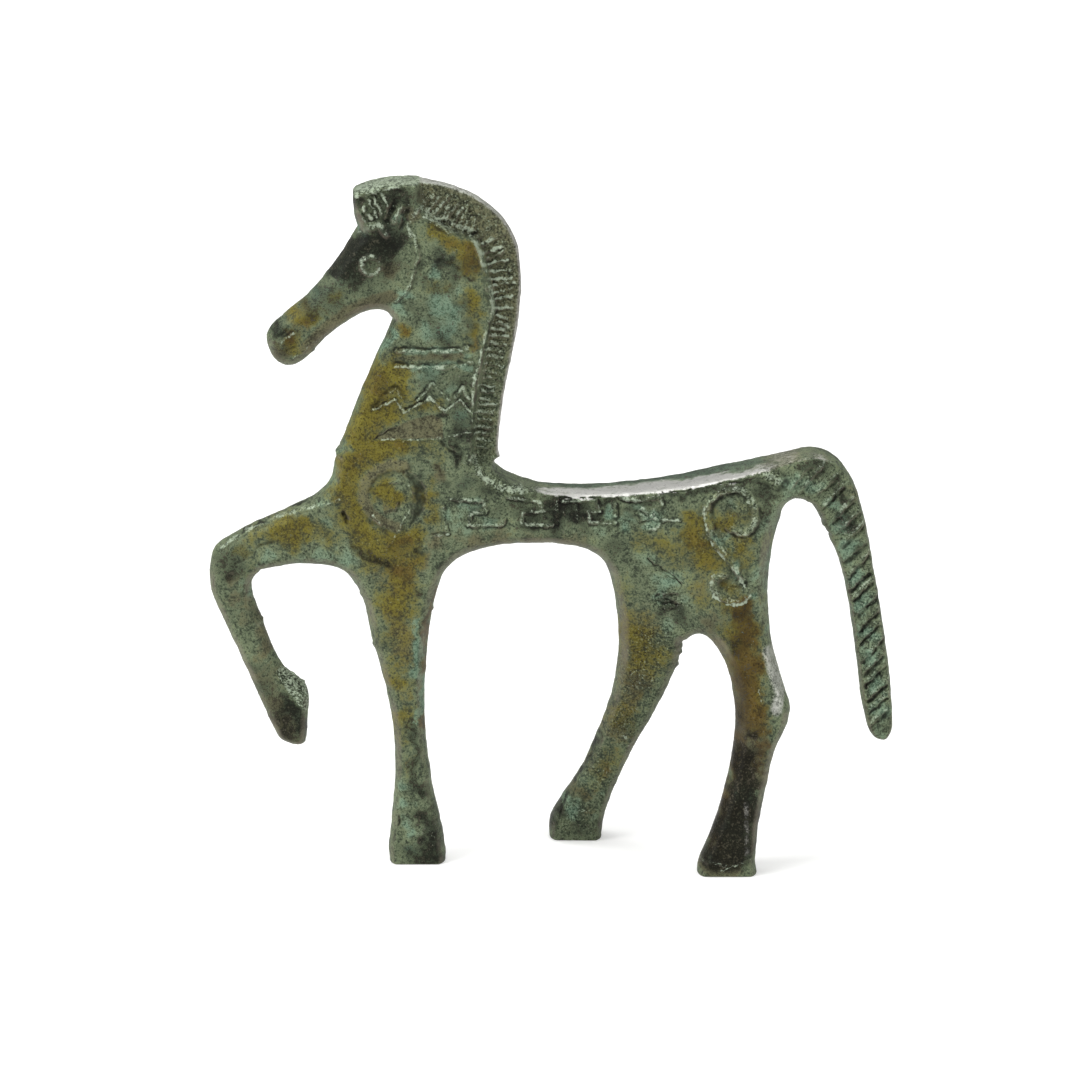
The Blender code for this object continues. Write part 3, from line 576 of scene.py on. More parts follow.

# Painted shade, as under a light from this direction: the band beside a line is darker on the
# side that this direction points to, or on the other one
PAINTED_LIGHT_FROM = (-0.45, 0.89)
SHADE_LEAN = (0.7, 0.5)
SHADE_LEAN_RANGE = (0.15, 1.1)
HOLLOW_DEPTH = 0.12

# The eye: its ring's sizes as in the table of raised lines, and its pupil and the dirt and painted
# shade around it, each with its strength and the distances from the centre between which it fades
EYE_CENTRE = (-28.15, 96.8)
EYE_RADIUS = 1.45
EYE_RING = (0.46, 0.5, 0.62, -0.15)
EYE_RING_POINTS = 30
PUPIL = (0.2, (0.3, 0.9))
EYE_HOLLOW = (0.45, (0.7, 1.1))

# Sunk places with a soft border: how deep each lies, and its corners
SOFT_BORDER = (-0.2, 0.25)
WEDGE_DEPTH = 0.22
WEDGE = ((-28.0, 69.1), (-25.9, 70.5), (-22.2, 72.1), (-18.7, 73.1), (-17.2, 72.3), (-16.9, 69.2))
CRESCENT_DEPTH = 0.4
CRESCENT_DARKNESS = 0.7
CRESCENT = (
    (-22.9, 64.4), (-21.2, 63.4), (-19.9, 61.4), (-19.7, 59.6), (-20.3, 57.4), (-22.5, 54.9),
    (-22.0, 56.9), (-21.5, 59.2), (-21.9, 61.6), (-22.9, 63.2),
)
FACET_DEPTH = 0.3
HOOF_FACET = (
    (-44.2, 30.3), (-42.5, 27.6), (-40.6, 24.8), (-38.6, 22.4), (-37.9, 27.0), (-39.6, 29.9),
    (-42.4, 31.9),
)

# Furrows across the tail: how far apart they are along its middle line, half their length, their
# slant in degrees, and the ranges that chance picks from; they are darker on the lower tail
TAIL_MIDDLE = (
    (39.0, 62.6), (42.4, 61.9), (45.2, 58.9), (47.4, 53.6), (49.0, 47.0), (50.3, 40.0),
    (51.5, 32.0), (52.7, 22.5),
)
FURROW_PITCH = 2.35
FURROW_REACH = 2.4
FURROW_SLANT = 45.0
LOWER_TAIL = (56.0, 42.0)
FURROW_DEPTH = -0.4
FURROW = {
    "turn": (-5, 5),
    "reach": (0.8, 1.05),
    "shift_x": (-0.3, 0.3),
    "shift_z": (-0.35, 0.35),
    "upper_darkness": (0.3, 0.85),
    "lower_darkness": (0.9, 1.25),
    "half_width": (0.26, 0.42),
    "ridge_paleness": (0.24, 0.4),
}
TAIL_RIDGE = (0.5, 0.12)
RIDGE_SHIFT = 0.45

# Burrs and chips on the outline: place, reach and how far they stand out
BURRS = (
    (-33.9, 66.5, 0.8, 0.45), (-32.6, 70.4, 0.6, 0.15), (-30.2, 43.4, 0.5, 0.3),
    (-45.9, 38.6, 0.7, 0.4), (-47.4, 44.0, 0.5, 0.2), (-41.2, 29.6, 0.8, 0.3),
    (-39.9, 28.0, 0.5, 0.3), (-46.2, 46.6, 0.6, -0.2), (-37.6, 82.8, 0.7, 0.25),
    (20.7, 33.2, 0.6, 0.35), (21.4, 35.0, 0.7, -0.35), (20.2, 31.0, 0.5, 0.25),
    (44.0, 53.3, 0.5, -0.35), (43.2, 54.8, 0.6, 0.3), (-8.6, 65.6, 0.7, 0.3),
    (-18.9, 41.0, 0.5, 0.2), (40.5, 58.6, 0.5, 0.2), (-28.4, 35.2, 0.5, 0.15),
)

# The outline of the feet stays even up to this height
EVEN_FEET = 0.5

# Uneven things: the number of their first pattern of lumps, and each layer's height and size
WAVER = {
    "outline": (3, (0.05, 1.3), (0.03, 0.5)),
    "burr": (5, (0.5, 0.3)),
    "crest_wear": (19, (0.6, 1.0), (0.6, 0.36)),
    "line_wear": (21, (0.6, 1.3), (0.5, 0.45)),
    "cut_wear": (23, (0.4, 0.6)),
    "hollow_wear": (24, (0.5, 1.1), (0.4, 0.4)),
    "line_x": (26, (0.16, 0.8), (0.12, 0.38)),
    "line_z": (28, (0.16, 0.8), (0.12, 0.38)),
    "skin": (31, (0.10, 6.0), (0.05, 2.4), (0.022, 0.9), (0.012, 0.45)),
    "grit": (33, (0.06, 0.9), (0.035, 0.45)),
    "pits": (35, (1.0, 0.8)),
    "stain_x": (40, (0.9, 2.6), (0.6, 0.9)),
    "stain_z": (42, (0.9, 2.6), (0.6, 0.9)),
    "stain_fine": (44, (0.35, 0.4)),
    "back_border": (71, (0.2, 3.0), (0.12, 0.6)),
    "back_streaks": (73, (0.3, 0.5)),
    "rim": (74, (0.45, 2.5)),
    "back_flecks": (75, (0.25, 0.5)),
    "back_ends": (76, (2.4, 3.6), (1.0, 1.1)),
}
FAR_PATTERNS = 20

# How much of the lines, of the dirt and painted shade in and beside them, and of their crests is left: the
# middle, the least and the most
WEAR = {
    "line": (0.8, 0.1, 1.3),
    "hollow": (0.75, 0.1, 1.0),
    "crest": (0.75, 0.05, 1.3),
}
CUT_WEAR = 0.75

# Large odd numbers that stir the lumps
PATTERN_STEP = (7919, 17)
AXIS_STEPS = (73856093, 19349663, 83492791)
STIR = (2654435761, 40503)
WHOLE = 0xFFFFFFFF
PART = 0xFFFF

# Colours of the skin of the bronze, and of the shade, highlights and reflections painted on it
DEEP_GREEN = (0.034, 0.043, 0.028)
VERDIGRIS = (0.198, 0.243, 0.142)
TEAL = (0.055, 0.100, 0.068)
PALE_TEAL = (0.245, 0.362, 0.252)
DARK_UMBER = (0.040, 0.036, 0.022)
PALE_UMBER = (0.180, 0.174, 0.096)
BROWN = (0.060, 0.042, 0.006)
DARK_RUST = (0.032, 0.018, 0.006)
RUST_BROWN = (0.125, 0.078, 0.022)
OLIVE_GOLD = (0.192, 0.168, 0.024)
PAINTED_RIM_REFLECTION = (0.300, 0.260, 0.200)
SOOT_AND_SHADE_BLACK = (0.004, 0.004, 0.003)
WORN_SOOT = (0.060, 0.055, 0.040)
CHALK = (0.450, 0.530, 0.405)
BARE_METAL_AND_HIGHLIGHT = (0.580, 0.575, 0.545)


def curve_through(points):
    """Points on a smooth curve that passes through the given points."""
    pts = [np.array(p, dtype=float) for p in points]
    last = pts[-1]
    pts = [2 * pts[0] - pts[1], *pts, 2 * pts[-1] - pts[-2]]
    out = []
    for a, b, c, d in zip(pts, pts[1:], pts[2:], pts[3:]):
        knots = [0.0]
        for p, q in ((a, b), (b, c), (c, d)):
            knots.append(knots[-1] + max(np.linalg.norm(q[:2] - p[:2]), 1e-6) ** 0.5)
        t0, t1, t2, t3 = knots
        for k in range(POINTS_PER_SPAN):
            t = t1 + (t2 - t1) * k / POINTS_PER_SPAN
            ab = ((t1 - t) * a + (t - t0) * b) / (t1 - t0)
            bc = ((t2 - t) * b + (t - t1) * c) / (t2 - t1)
            cd = ((t3 - t) * c + (t - t2) * d) / (t3 - t2)
            abc = ((t2 - t) * ab + (t - t0) * bc) / (t2 - t0)
            bcd = ((t3 - t) * bc + (t - t1) * cd) / (t3 - t1)
            out.append(((t2 - t) * abc + (t - t1) * bcd) / (t2 - t1))
    return [*out, last]


def resampled(points, step):
    """The same path with points at even steps, and its ends kept."""
    pts = np.array(points)
    lengths = np.linalg.norm(np.diff(pts[:, :2], axis=0), axis=1)
    along = np.concatenate([[0.0], np.cumsum(lengths)])
    pieces = max(1, round(along[-1] / step))
    wanted = np.linspace(0.0, along[-1], pieces + 1)
    return np.stack([np.interp(wanted, along, pts[:, k]) for k in range(pts.shape[1])], axis=1)


def directions(path):
    """Unit directions along a path."""
    run = np.gradient(path, axis=0)
    return run / np.linalg.norm(run, axis=1, keepdims=True)


def smooth_step(value, low, high):
    """0 up to `low`, 1 from `high` on and smooth between."""
    t = np.clip((value - low) / (high - low), 0.0, 1.0)
    return t * t * (3 - 2 * t)


def fade(value, low, high):
    """1 up to `low`, 0 from `high` on and smooth between."""
    return 1 - smooth_step(value, low, high)


def lumps(size, pattern, *place):
    """Smooth random heights between -1 and 1, with lumps of about that size."""
    cells = []
    parts = []
    for axis in place:
        scaled = np.asarray(axis) / size
        cell = np.floor(scaled).astype(np.int64)
        cells.append(cell)
        parts.append(smooth_step(scaled - cell, 0.0, 1.0))
    total = 0.0
    start = pattern * PATTERN_STEP[0] + PATTERN_STEP[1]
    for corner in range(2 ** len(place)):
        mixed = np.full(cells[0].shape, start, dtype=np.int64)
        weight = 1.0
        for k, (cell, part) in enumerate(zip(cells, parts)):
            up = corner >> k & 1
            mixed = (mixed ^ ((cell + up) * AXIS_STEPS[k])) & WHOLE
            mixed = (mixed * STIR[0] + STIR[1]) & WHOLE
            mixed ^= mixed >> 15
            weight = weight * (part if up else 1 - part)
        total = total + weight * ((mixed & PART) * 2 / PART - 1)
    return total


def waver(name, *place, skip=0):
    """Lumps of several sizes added up, as the table says."""
    first, *layers = WAVER[name]
    first += skip
    return sum(height * lumps(size, first + k, *place) for k, (height, size) in enumerate(layers))


def wear(kind, x, z):
    """How much of the lines, their hollows or their crests is left at each place."""
    middle, least, most = WEAR[kind]
    return np.clip(middle + waver(f"{kind}_wear", x, z), least, most)


def along_normals(loop):
    """Outward directions of a counter-clockwise closed loop."""
    along = np.roll(loop[:, :2], -1, axis=0) - np.roll(loop[:, :2], 1, axis=0)
    along /= np.linalg.norm(along, axis=1, keepdims=True)
    return np.stack([along[:, 1], -along[:, 0]], axis=1)


def outline_loop(step):
    """The closed outline as rows of x, z and edge rounding, with its burrs and cast waver."""
    runs = []
    for bracket in OUTLINE:
        run = []
        for points, start_edge, end_edge in bracket:
            last = len(points) - 1
            for k, (x, z) in enumerate(points):
                run.append((x, z, start_edge + (end_edge - start_edge) * k / last))
        runs.append(run)
    loop = []
    for run, following in zip(runs, runs[1:] + runs[:1]):
        path = run + [following[0]] if run[-1][:2] != following[0][:2] else run
        loop.extend(resampled(curve_through(path), step)[:-1])
    loop = np.array(loop)
    x, z = loop[:, 0], loop[:, 1]
    push = waver("outline", x, z)
    for px, pz, reach, height in BURRS:
        gap = np.hypot(x - px, z - pz) / reach
        push += height * np.clip(1 - gap**2, 0, 1) ** 2 * (1 + waver("burr", x, z))
    loop[:, :2] += along_normals(loop) * (push * (z > EVEN_FEET))[:, None]
    return loop


def body_field(x, z):
    """Half thickness and Y offset of the casting before its edges are rounded."""
    places = np.array(list(BODY.values()))
    gap = (x[:, None] - places[:, 0]) ** 2 + (z[:, None] - places[:, 1]) ** 2
    gap -= gap.min(axis=1, keepdims=True)
    weight = np.exp(-gap / (2 * FIELD_BLUR**2))
    weight /= weight.sum(axis=1, keepdims=True)
    return weight @ places[:, 2], weight @ places[:, 3]


def off_stretch(x, z, ax, az, bx, bz):
    """Where places lie from the nearest point of the straight stretch from a to b."""
    dx, dz = bx - ax, bz - az
    t = np.clip(((x - ax) * dx + (z - az) * dz) / (dx * dx + dz * dz), 0.0, 1.0)
    return x - ax - t * dx, z - az - t * dz


def path_offset(path, x, z):
    """Where each place lies from the nearest point of a path, and on which side: -1 is its left."""
    best = np.full(len(x), np.inf)
    side, off_x, off_z = np.ones(len(x)), np.zeros(len(x)), np.zeros(len(x))
    for (ax, az), (bx, bz) in zip(path[:-1], path[1:]):
        ox, oz = off_stretch(x, z, ax, az, bx, bz)
        gap = np.hypot(ox, oz)
        closer = gap < best
        best = np.where(closer, gap, best)
        side = np.where(closer, np.sign((bz - az) * (x - ax) - (bx - ax) * (z - az)), side)
        off_x = np.where(closer, ox, off_x)
        off_z = np.where(closer, oz, off_z)
    return best, side, off_x, off_z


def mane_share(x, z):
    """1 on the thin mane, 0 on the thick neck."""
    border = resampled(curve_through(MANE_BORDER), 1.0)
    gap, side, _, _ = path_offset(border, x, z)
    above_withers = smooth_step(z, WITHERS - WITHERS_BORDER, WITHERS + WITHERS_BORDER) * (x < 0)
    return smooth_step(-gap * side, -MANE_STEP, MANE_STEP) * above_withers


def mane_ribs():
    """Ribs that cross the mane from its border to near the crest, each a little different."""
    chance = np.random.default_rng(11)
    border = resampled(curve_through(MANE_BORDER[1:]), RIB_PITCH)
    crest = np.array(curve_through(CREST[0]))
    ribs = {}
    for k, ((x, z), (dx, dz)) in enumerate(zip(border, directions(border))):
        if z < WITHERS + 2 * WITHERS_BORDER:
            break
        width = np.hypot(crest[:, 0] - x, crest[:, 1] - z).min()
        lean = chance.uniform(*RIB["lean"])
        out = np.array([-dz - lean * dx, dx - lean * dz])
        start = chance.uniform(*RIB["start"])
        end = (width - RIM_OF_MANE) * chance.uniform(*RIB["reach"])
        bend = chance.uniform(*RIB["bend"])
        bends = ((start, 0.0), ((start + end) / 2, bend), (end, 0.0))
        path = [(x + out[0] * t + dx * b, z + out[1] * t + dz * b) for t, b in bends]
        clear = 1.0 if CLEAR_RIBS[0] < z < CLEAR_RIBS[1] else FAINT_RIB
        pale = clear * chance.uniform(*RIB["paleness"])
        half_width = chance.uniform(*RIB["half_width"])
        height = clear * chance.uniform(*RIB["height"])
        ribs[f"rib_{k}"] = (half_width, height, pale, RIB_HOLLOW, path)
        gutter = [(px + dx * RIB_PITCH / 2, pz + dz * RIB_PITCH / 2) for px, pz in path]
        ribs[f"rib_gutter_{k}"] = (*GUTTER, chance.uniform(*RIB["gutter_darkness"]), 0.0, gutter)
    return ribs


def tail_furrows():
    """Slanting furrows across the tail, from its root to its tip, with a ridge beside each."""
    chance = np.random.default_rng(13)
    furrows = {}
    for k, (x, z) in enumerate(resampled(curve_through(TAIL_MIDDLE), FURROW_PITCH)):
        turn = radians(FURROW_SLANT + chance.uniform(*FURROW["turn"]))
        reach = FURROW_REACH * chance.uniform(*FURROW["reach"])
        x, z = x + chance.uniform(*FURROW["shift_x"]), z + chance.uniform(*FURROW["shift_z"])
        path = [(x + end * reach * cos(turn), z + end * reach * sin(turn)) for end in (-1, 1)]
        low = smooth_step(z, *LOWER_TAIL)
        dark = chance.uniform(*FURROW["upper_darkness"]) * (1 - low)
        dark += chance.uniform(*FURROW["lower_darkness"]) * low
        furrows[f"tail_{k}"] = (chance.uniform(*FURROW["half_width"]), FURROW_DEPTH, dark, 0.0, path)
        beside = [(px, pz + FURROW_PITCH * RIDGE_SHIFT) for px, pz in path]
        pale = chance.uniform(*FURROW["ridge_paleness"])
        furrows[f"tail_ridge_{k}"] = (*TAIL_RIDGE, pale, 0.0, beside)
    return furrows


def eye_ring():
    """The ring around the eye."""
    x, z = EYE_CENTRE
    turns = [radians(360 * k / EYE_RING_POINTS) for k in range(EYE_RING_POINTS + 1)]
    return [(x + EYE_RADIUS * cos(turn), z + EYE_RADIUS * sin(turn)) for turn in turns]


def ornament(far_side):
    """Every raised line and cut of one side: half width, height, tone, painted shade beside it and path."""
    lines = dict(RAISED)
    lines["eye"] = (*EYE_RING, eye_ring())
    lines.update(mane_ribs())
    lines.update(tail_furrows())
    for name, (half_width, depth, dark, path) in CUT.items():
        lines[name] = (half_width, -depth, dark, 0.0, path)
    if far_side:
        lines = {k: v for k, v in lines.items() if not any(word in k for word in PLAIN_FAR_SIDE)}
    for name, (*sizes, path) in lines.items():
        if len(path) > 2 and not name.startswith(STRAIGHT):
            path = resampled(curve_through(path), PATH_STEP)
        lines[name] = (*sizes, path)
    return lines


def across(half_width, reach):
    """Two distances from the middle of a line, from its half width."""
    return [share * half_width + rest for share, rest in reach]


def relief(x, z, far_side):
    """Height of the ornament, and how much of each place is a worn crest and how much is darkened with dirt
    and painted shade.
    """
    x, z = x + waver("line_x", x, z), z + waver("line_z", x, z)
    raised, cut, crest, hollow = (np.zeros(len(x)) for _ in range(4))
    for half_width, height, tone, shade, path in ornament(far_side).values():
        spots = np.array(path)
        room = 3 * half_width + 1.0
        low, high = spots.min(axis=0) - room, spots.max(axis=0) + room
        near = (x > low[0]) & (x < high[0]) & (z > low[1]) & (z < high[1])
        gap, _, off_x, off_z = path_offset(path, x[near], z[near])
        share = fade(gap, *across(half_width, FLANK))
        if height < 0:
            cut[near] = np.minimum(cut[near], share * height)
            hollow[near] = np.maximum(hollow[near], share * tone)
            continue
        raised[near] = np.maximum(raised[near], share * height)
        crest[near] = np.maximum(crest[near], fade(gap, *across(half_width, PALE_CREST)) * tone)
        beside = smooth_step(gap, *across(half_width, HOLLOW_START))
        beside *= fade(gap, *across(half_width, HOLLOW_END))
        # Painted shade: the band is darker on one side of the line, as under a light from above
        towards = (off_x * PAINTED_LIGHT_FROM[0] + off_z * PAINTED_LIGHT_FROM[1]) / np.maximum(gap, 0.02)
        lean = SHADE_LEAN[0] + SHADE_LEAN[1] * np.sign(shade) * towards
        hollow[near] = np.maximum(hollow[near], beside * abs(shade) * np.clip(lean, *SHADE_LEAN_RANGE))
    gap = np.hypot(x - EYE_CENTRE[0], z - EYE_CENTRE[1])
    pupil = PUPIL[0] * fade(gap, *PUPIL[1])
    hollow = np.maximum(hollow, EYE_HOLLOW[0] * fade(gap, *EYE_HOLLOW[1]))
    sunk = 0.0
    if not far_side:
        crescent = in_polygon(CRESCENT, x, z)
        hollow = np.maximum(hollow, CRESCENT_DARKNESS * crescent)
        sunk = CRESCENT_DEPTH * crescent + WEDGE_DEPTH * in_polygon(WEDGE, x, z)
        sunk += FACET_DEPTH * in_polygon(HOOF_FACET, x, z)
    height = raised * wear("line", x, z) + cut * (CUT_WEAR + waver("cut_wear", x, z)) + pupil - sunk
    hollow = hollow * wear("hollow", x, z)
    return height - HOLLOW_DEPTH * hollow, crest * wear("crest", x, z), hollow


def in_polygon(corners, x, z):
    """1 inside a small polygon and 0 outside it, with a soft border."""
    inside = inside_loop(np.array(corners), x, z)
    gap = path_offset([*corners, corners[0]], x, z)[0]
    return smooth_step(np.where(inside, gap, -gap), *SOFT_BORDER)


def inside_loop(loop, x, z):
    """Which places lie inside a closed loop."""
    crossed = np.zeros(len(x), dtype=bool)
    for (ax, az), (bx, bz) in zip(loop, np.roll(loop, -1, axis=0)):
        if az != bz:
            spans = (az > z) != (bz > z)
            crossed ^= spans & (x < (bx - ax) * (z - az) / (bz - az) + ax)
    return crossed


class Outline:
    """The outline and the distance of any point in the side view from it."""

    def __init__(self, step):
        self.points = outline_loop(step)
        self.fine = outline_loop(step / 3)
        self.tree = kdtree.KDTree(len(self.fine))
        for k, (x, z, _) in enumerate(self.fine):
            self.tree.insert((x, z, 0.0), k)
        self.tree.balance()

    def inset(self, x, z):
        """Distance from the outline and the edge rounding there."""
        nearest = np.array([self.tree.find((px, pz, 0.0))[1] for px, pz in zip(x, z)])
        count = len(self.fine)
        best = np.full(len(x), np.inf)
        for back in (0, 1):
            ax, az, _ = self.fine[(nearest - back) % count].T
            bx, bz, _ = self.fine[(nearest - back + 1) % count].T
            best = np.minimum(best, np.hypot(*off_stretch(x, z, ax, az, bx, bz)))
        return best, self.fine[nearest, 2]

    def ring_points(self, angle_step):
        """Close-set points along the rounded edge."""
        loop = self.points
        inward = -along_normals(loop)
        found = []
        for k in range(1, int(90 / angle_step)):
            inset = loop[:, 2] * (1 - cos(radians(k * angle_step)))
            used = inset < RING_BAND
            spots = (loop[:, :2] + inward * inset[:, None])[used]
            if len(spots):
                gap, _ = self.inset(*spots.T)
                found.append(spots[gap > RING_CLEARANCE * inset[used]])
        return np.concatenate(found)

    def line_points(self, far_side):
        """Points along both flanks of every raised line and cut."""
        found = []
        for half_width, _, _, _, path in ornament(far_side).values():
            spots = resampled(path, LINE_SPACING)
            run = directions(spots)
            sideways = np.stack([-run[:, 1], run[:, 0]], axis=1)
            for part in LINE_ROWS:
                found.append(spots + sideways * part * half_width)
        spots = np.concatenate(found)
        inside = inside_loop(self.points[:, :2], *spots.T)
        gap, _ = self.inset(*spots.T)
        return spots[inside & (gap > RING_BAND + LINE_CLEARANCE)]

    def field_points(self, spacing):
        """An even net of points inside the rounded edge."""
        loop = self.points
        low, high = loop[:, :2].min(axis=0), loop[:, :2].max(axis=0)
        ax, az = loop[:, 0], loop[:, 1]
        bx, bz = np.roll(ax, -1), np.roll(az, -1)
        rows = []
        for row, z in enumerate(np.arange(low[1] + NET_START, high[1], spacing * NET_ROW)):
            hit = (az > z) != (bz > z)
            crossings = np.sort(((bx - ax) * (z - az) / np.where(bz == az, 1, bz - az) + ax)[hit])
            x = np.arange(low[0] + 0.5 * (row % 2) * spacing, high[0], spacing)
            x = x[np.searchsorted(crossings, x) % 2 == 1]
            rows.append(np.stack([x, np.full(len(x), z)], axis=1))
        spots = np.concatenate(rows)
        gap, _ = self.inset(*spots.T)
        return spots[gap > RING_BAND + NET_CLEARANCE * spacing]


def side_surface(outline, x, z, far_side):
    """Y of one side of the casting over points of the side view."""
    half, middle = body_field(x, z)
    front = smooth_step(-x, *MANE_FRONT)
    mane_half = MANE_HALF + (MANE_FRONT_HALF - MANE_HALF) * front
    half = half + (mane_half - half) * mane_share(x, z)
    gap, edge = outline.inset(x, z)
    height, _, _ = relief(x, z, far_side)
    u = np.clip(gap / edge, 0.0, 1.0)
    rise = (half + height) * np.sqrt(1.0 - (1.0 - u) ** 2)
    return middle + rise if far_side else middle - rise


def casting(outline):
    """The whole casting as one closed mesh, in millimetres."""
    loop = outline.points
    count = len(loop)
    rim_half, rim_middle = body_field(loop[:, 0], loop[:, 1])
    mesh = bmesh.new()
    rim = [mesh.verts.new((x, y, z)) for (x, z, _), y in zip(loop, rim_middle)]
    loop_edges = [(k, (k + 1) % count) for k in range(count)]
    for far_side, spacing, angle_step in ((False, *NEAR_NET), (True, *FAR_NET)):
        nets = (outline.ring_points(angle_step), outline.field_points(spacing))
        lines = () if far_side else (outline.line_points(far_side),)
        spots = np.concatenate([loop[:, :2], *nets, *lines])
        flat, _, faces, origins, _, _ = geometry.delaunay_2d_cdt(
            [Vector(p) for p in spots], loop_edges, [], 1, 1e-3
        )
        x = np.array([p[0] for p in flat])
        z = np.array([p[1] for p in flat])
        y = side_surface(outline, x, z, far_side)
        verts = []
        for k, ids in enumerate(origins):
            on_rim = [i for i in ids if i < count]
            verts.append(rim[on_rim[0]] if on_rim else mesh.verts.new((x[k], y[k], z[k])))
        for a, b, c in faces:
            mesh.faces.new((verts[a], verts[c], verts[b]) if far_side else (verts[a], verts[b], verts[c]))
    return mesh


def cut_feet(mesh):
    """Cut the standing feet flat at the ground."""
    everything = mesh.verts[:] + mesh.edges[:] + mesh.faces[:]
    bmesh.ops.bisect_plane(
        mesh, geom=everything, plane_co=(0, 0, 0), plane_no=(0, 0, -1), clear_outer=True
    )
    rims = [edge for edge in mesh.edges if edge.is_boundary]
    bmesh.ops.holes_fill(mesh, edges=rims, sides=0)
    bmesh.ops.dissolve_degenerate(mesh, dist=1e-5, edges=mesh.edges[:])
    bmesh.ops.triangulate(mesh, faces=mesh.faces[:])
    bmesh.ops.recalc_face_normals(mesh, faces=mesh.faces[:])


# Where each colour of the skin lies: x, z, radius and strength
GILT = (
    (23.1, 56.6, 2.4, 0.5), (33.8, 53.4, 1.8, 0.35),
    (-27.4, 42.4, 3.0, 0.4), (-26.8, 36.6, 2.6, 0.4), (-25.6, 30.0, 2.4, 0.4), (-24.4, 22.4, 2.2, 0.35),
    (-47.0, 47.6, 2.4, 0.25), (31.6, 58.2, 1.6, 0.4), (26.0, 60.6, 1.4, 0.4),
    (-23.8, 40.0, 4.6, 0.3), (-23.5, 32.0, 3.8, 0.3), (-22.6, 24.0, 3.2, 0.35), (-22.4, 16.0, 2.8, 0.3),
    (24.6, 57.0, 2.0, 0.6), (28.4, 52.0, 2.2, 0.7), (31.0, 49.6, 1.8, 0.6), (29.6, 57.0, 2.0, 0.5),
    (26.4, 48.6, 2.6, 0.5), (22.6, 47.0, 3.0, 0.4), (11.6, 44.0, 2.6, 0.4), (7.0, 11.0, 3.0, 0.4),
    (-24.6, 42.0, 3.0, 0.5), (-23.8, 37.6, 2.9, 0.45), (-23.6, 33.8, 2.4, 0.4), (-23.0, 46.5, 3.2, 0.6),
    (-21.4, 49.8, 2.4, 0.7), (-29.4, 48.9, 2.0, 0.5), (12.6, 38.0, 4.2, 0.6), (15.4, 33.6, 4.0, 0.6),
    (11.4, 21.0, 3.2, 0.55), (28.8, 38.4, 2.2, 0.7), (28.8, 33.0, 1.8, 0.6), (20.0, 50.4, 3.0, 0.5),
    (-21.6, 59.8, 1.9, 0.6), (-26.6, 63.9, 2.0, 0.5), (-19.4, 62.2, 1.4, 0.6), (-18.0, 66.0, 2.0, 0.4),
    (-39.3, 88.3, 2.0, 0.9), (-37.2, 89.0, 2.0, 0.9), (-33.3, 91.6, 1.8, 0.6), (-40.4, 84.0, 2.2, 0.85),
    (-38.8, 82.9, 1.7, 0.5), (-18.2, 102.2, 1.8, 0.8), (-16.5, 101.2, 2.2, 0.7), (-14.6, 99.6, 2.4, 0.75),
    (-13.2, 98.0, 2.7, 0.75), (-12.2, 96.2, 2.2, 0.55), (-17.8, 93.6, 1.7, 0.5), (-12.4, 91.2, 2.0, 0.9),
    (-12.1, 88.8, 1.8, 0.75), (-23.2, 86.6, 1.5, 0.9), (-12.2, 85.3, 2.0, 0.8), (-23.2, 82.0, 1.7, 0.9),
    (-26.5, 79.5, 3.3, 0.95), (-23.5, 79.2, 2.6, 0.9), (-27.8, 76.4, 3.5, 1.0), (-22.9, 77.0, 2.0, 0.8),
    (-28.0, 73.0, 3.6, 1.0), (-24.5, 73.6, 2.6, 0.9), (-20.5, 74.2, 1.8, 0.8), (-18.0, 74.2, 1.5, 0.6),
    (-30.5, 69.5, 3.3, 0.95), (-27.3, 67.5, 3.6, 1.0), (-24.0, 68.2, 2.6, 0.9), (-21.0, 67.6, 1.9, 0.6),
    (-31.3, 65.2, 3.3, 1.0), (-32.2, 61.0, 3.2, 1.0), (-27.2, 60.4, 2.4, 1.0), (-25.0, 59.8, 2.3, 0.95),
    (-31.4, 57.0, 3.1, 1.0), (-29.3, 54.0, 3.1, 1.0), (-24.6, 53.0, 2.6, 0.95), (-21.9, 53.2, 2.4, 0.9),
    (-27.6, 51.0, 3.1, 0.85), (-24.6, 50.0, 3.1, 0.8), (-18.9, 59.5, 1.8, 0.8), (-19.0, 56.6, 1.9, 0.85),
    (-19.2, 67.6, 1.8, 0.4), (-24.6, 46.6, 3.8, 0.7), (-24.5, 42.0, 3.1, 0.5), (-24.0, 29.5, 2.4, 0.7),
    (-23.6, 25.2, 2.2, 0.6), (-23.2, 20.5, 1.8, 0.4), (-43.6, 53.4, 2.6, 0.9), (-40.8, 54.0, 2.8, 0.95),
    (-38.4, 54.6, 2.4, 0.9), (-41.0, 51.7, 2.2, 0.75), (-35.2, 53.0, 2.6, 0.65), (-49.2, 50.0, 1.7, 0.6),
    (-46.8, 52.3, 1.8, 0.55), (21.8, 56.6, 2.2, 0.85), (23.0, 53.6, 2.8, 1.0), (24.4, 51.0, 2.7, 0.95),
    (27.0, 56.3, 2.0, 0.9), (30.4, 52.4, 1.9, 0.9), (14.5, 52.8, 2.8, 0.55), (18.0, 52.8, 2.8, 0.6),
    (24.5, 43.4, 2.3, 0.5), (29.0, 42.0, 3.1, 0.95), (30.4, 38.5, 3.1, 1.0), (30.6, 35.6, 2.9, 1.0),
    (31.3, 32.4, 2.9, 1.0), (31.8, 29.4, 2.6, 0.95), (32.0, 26.8, 2.8, 0.9), (33.6, 23.6, 2.2, 0.7),
    (28.4, 46.0, 1.5, 0.8), (13.0, 36.5, 4.4, 0.5), (14.6, 31.5, 4.4, 0.5), (12.6, 24.5, 3.8, 0.45),
    (9.0, 14.5, 3.1, 0.5), (33.4, 44.0, 1.5, 0.4),
)
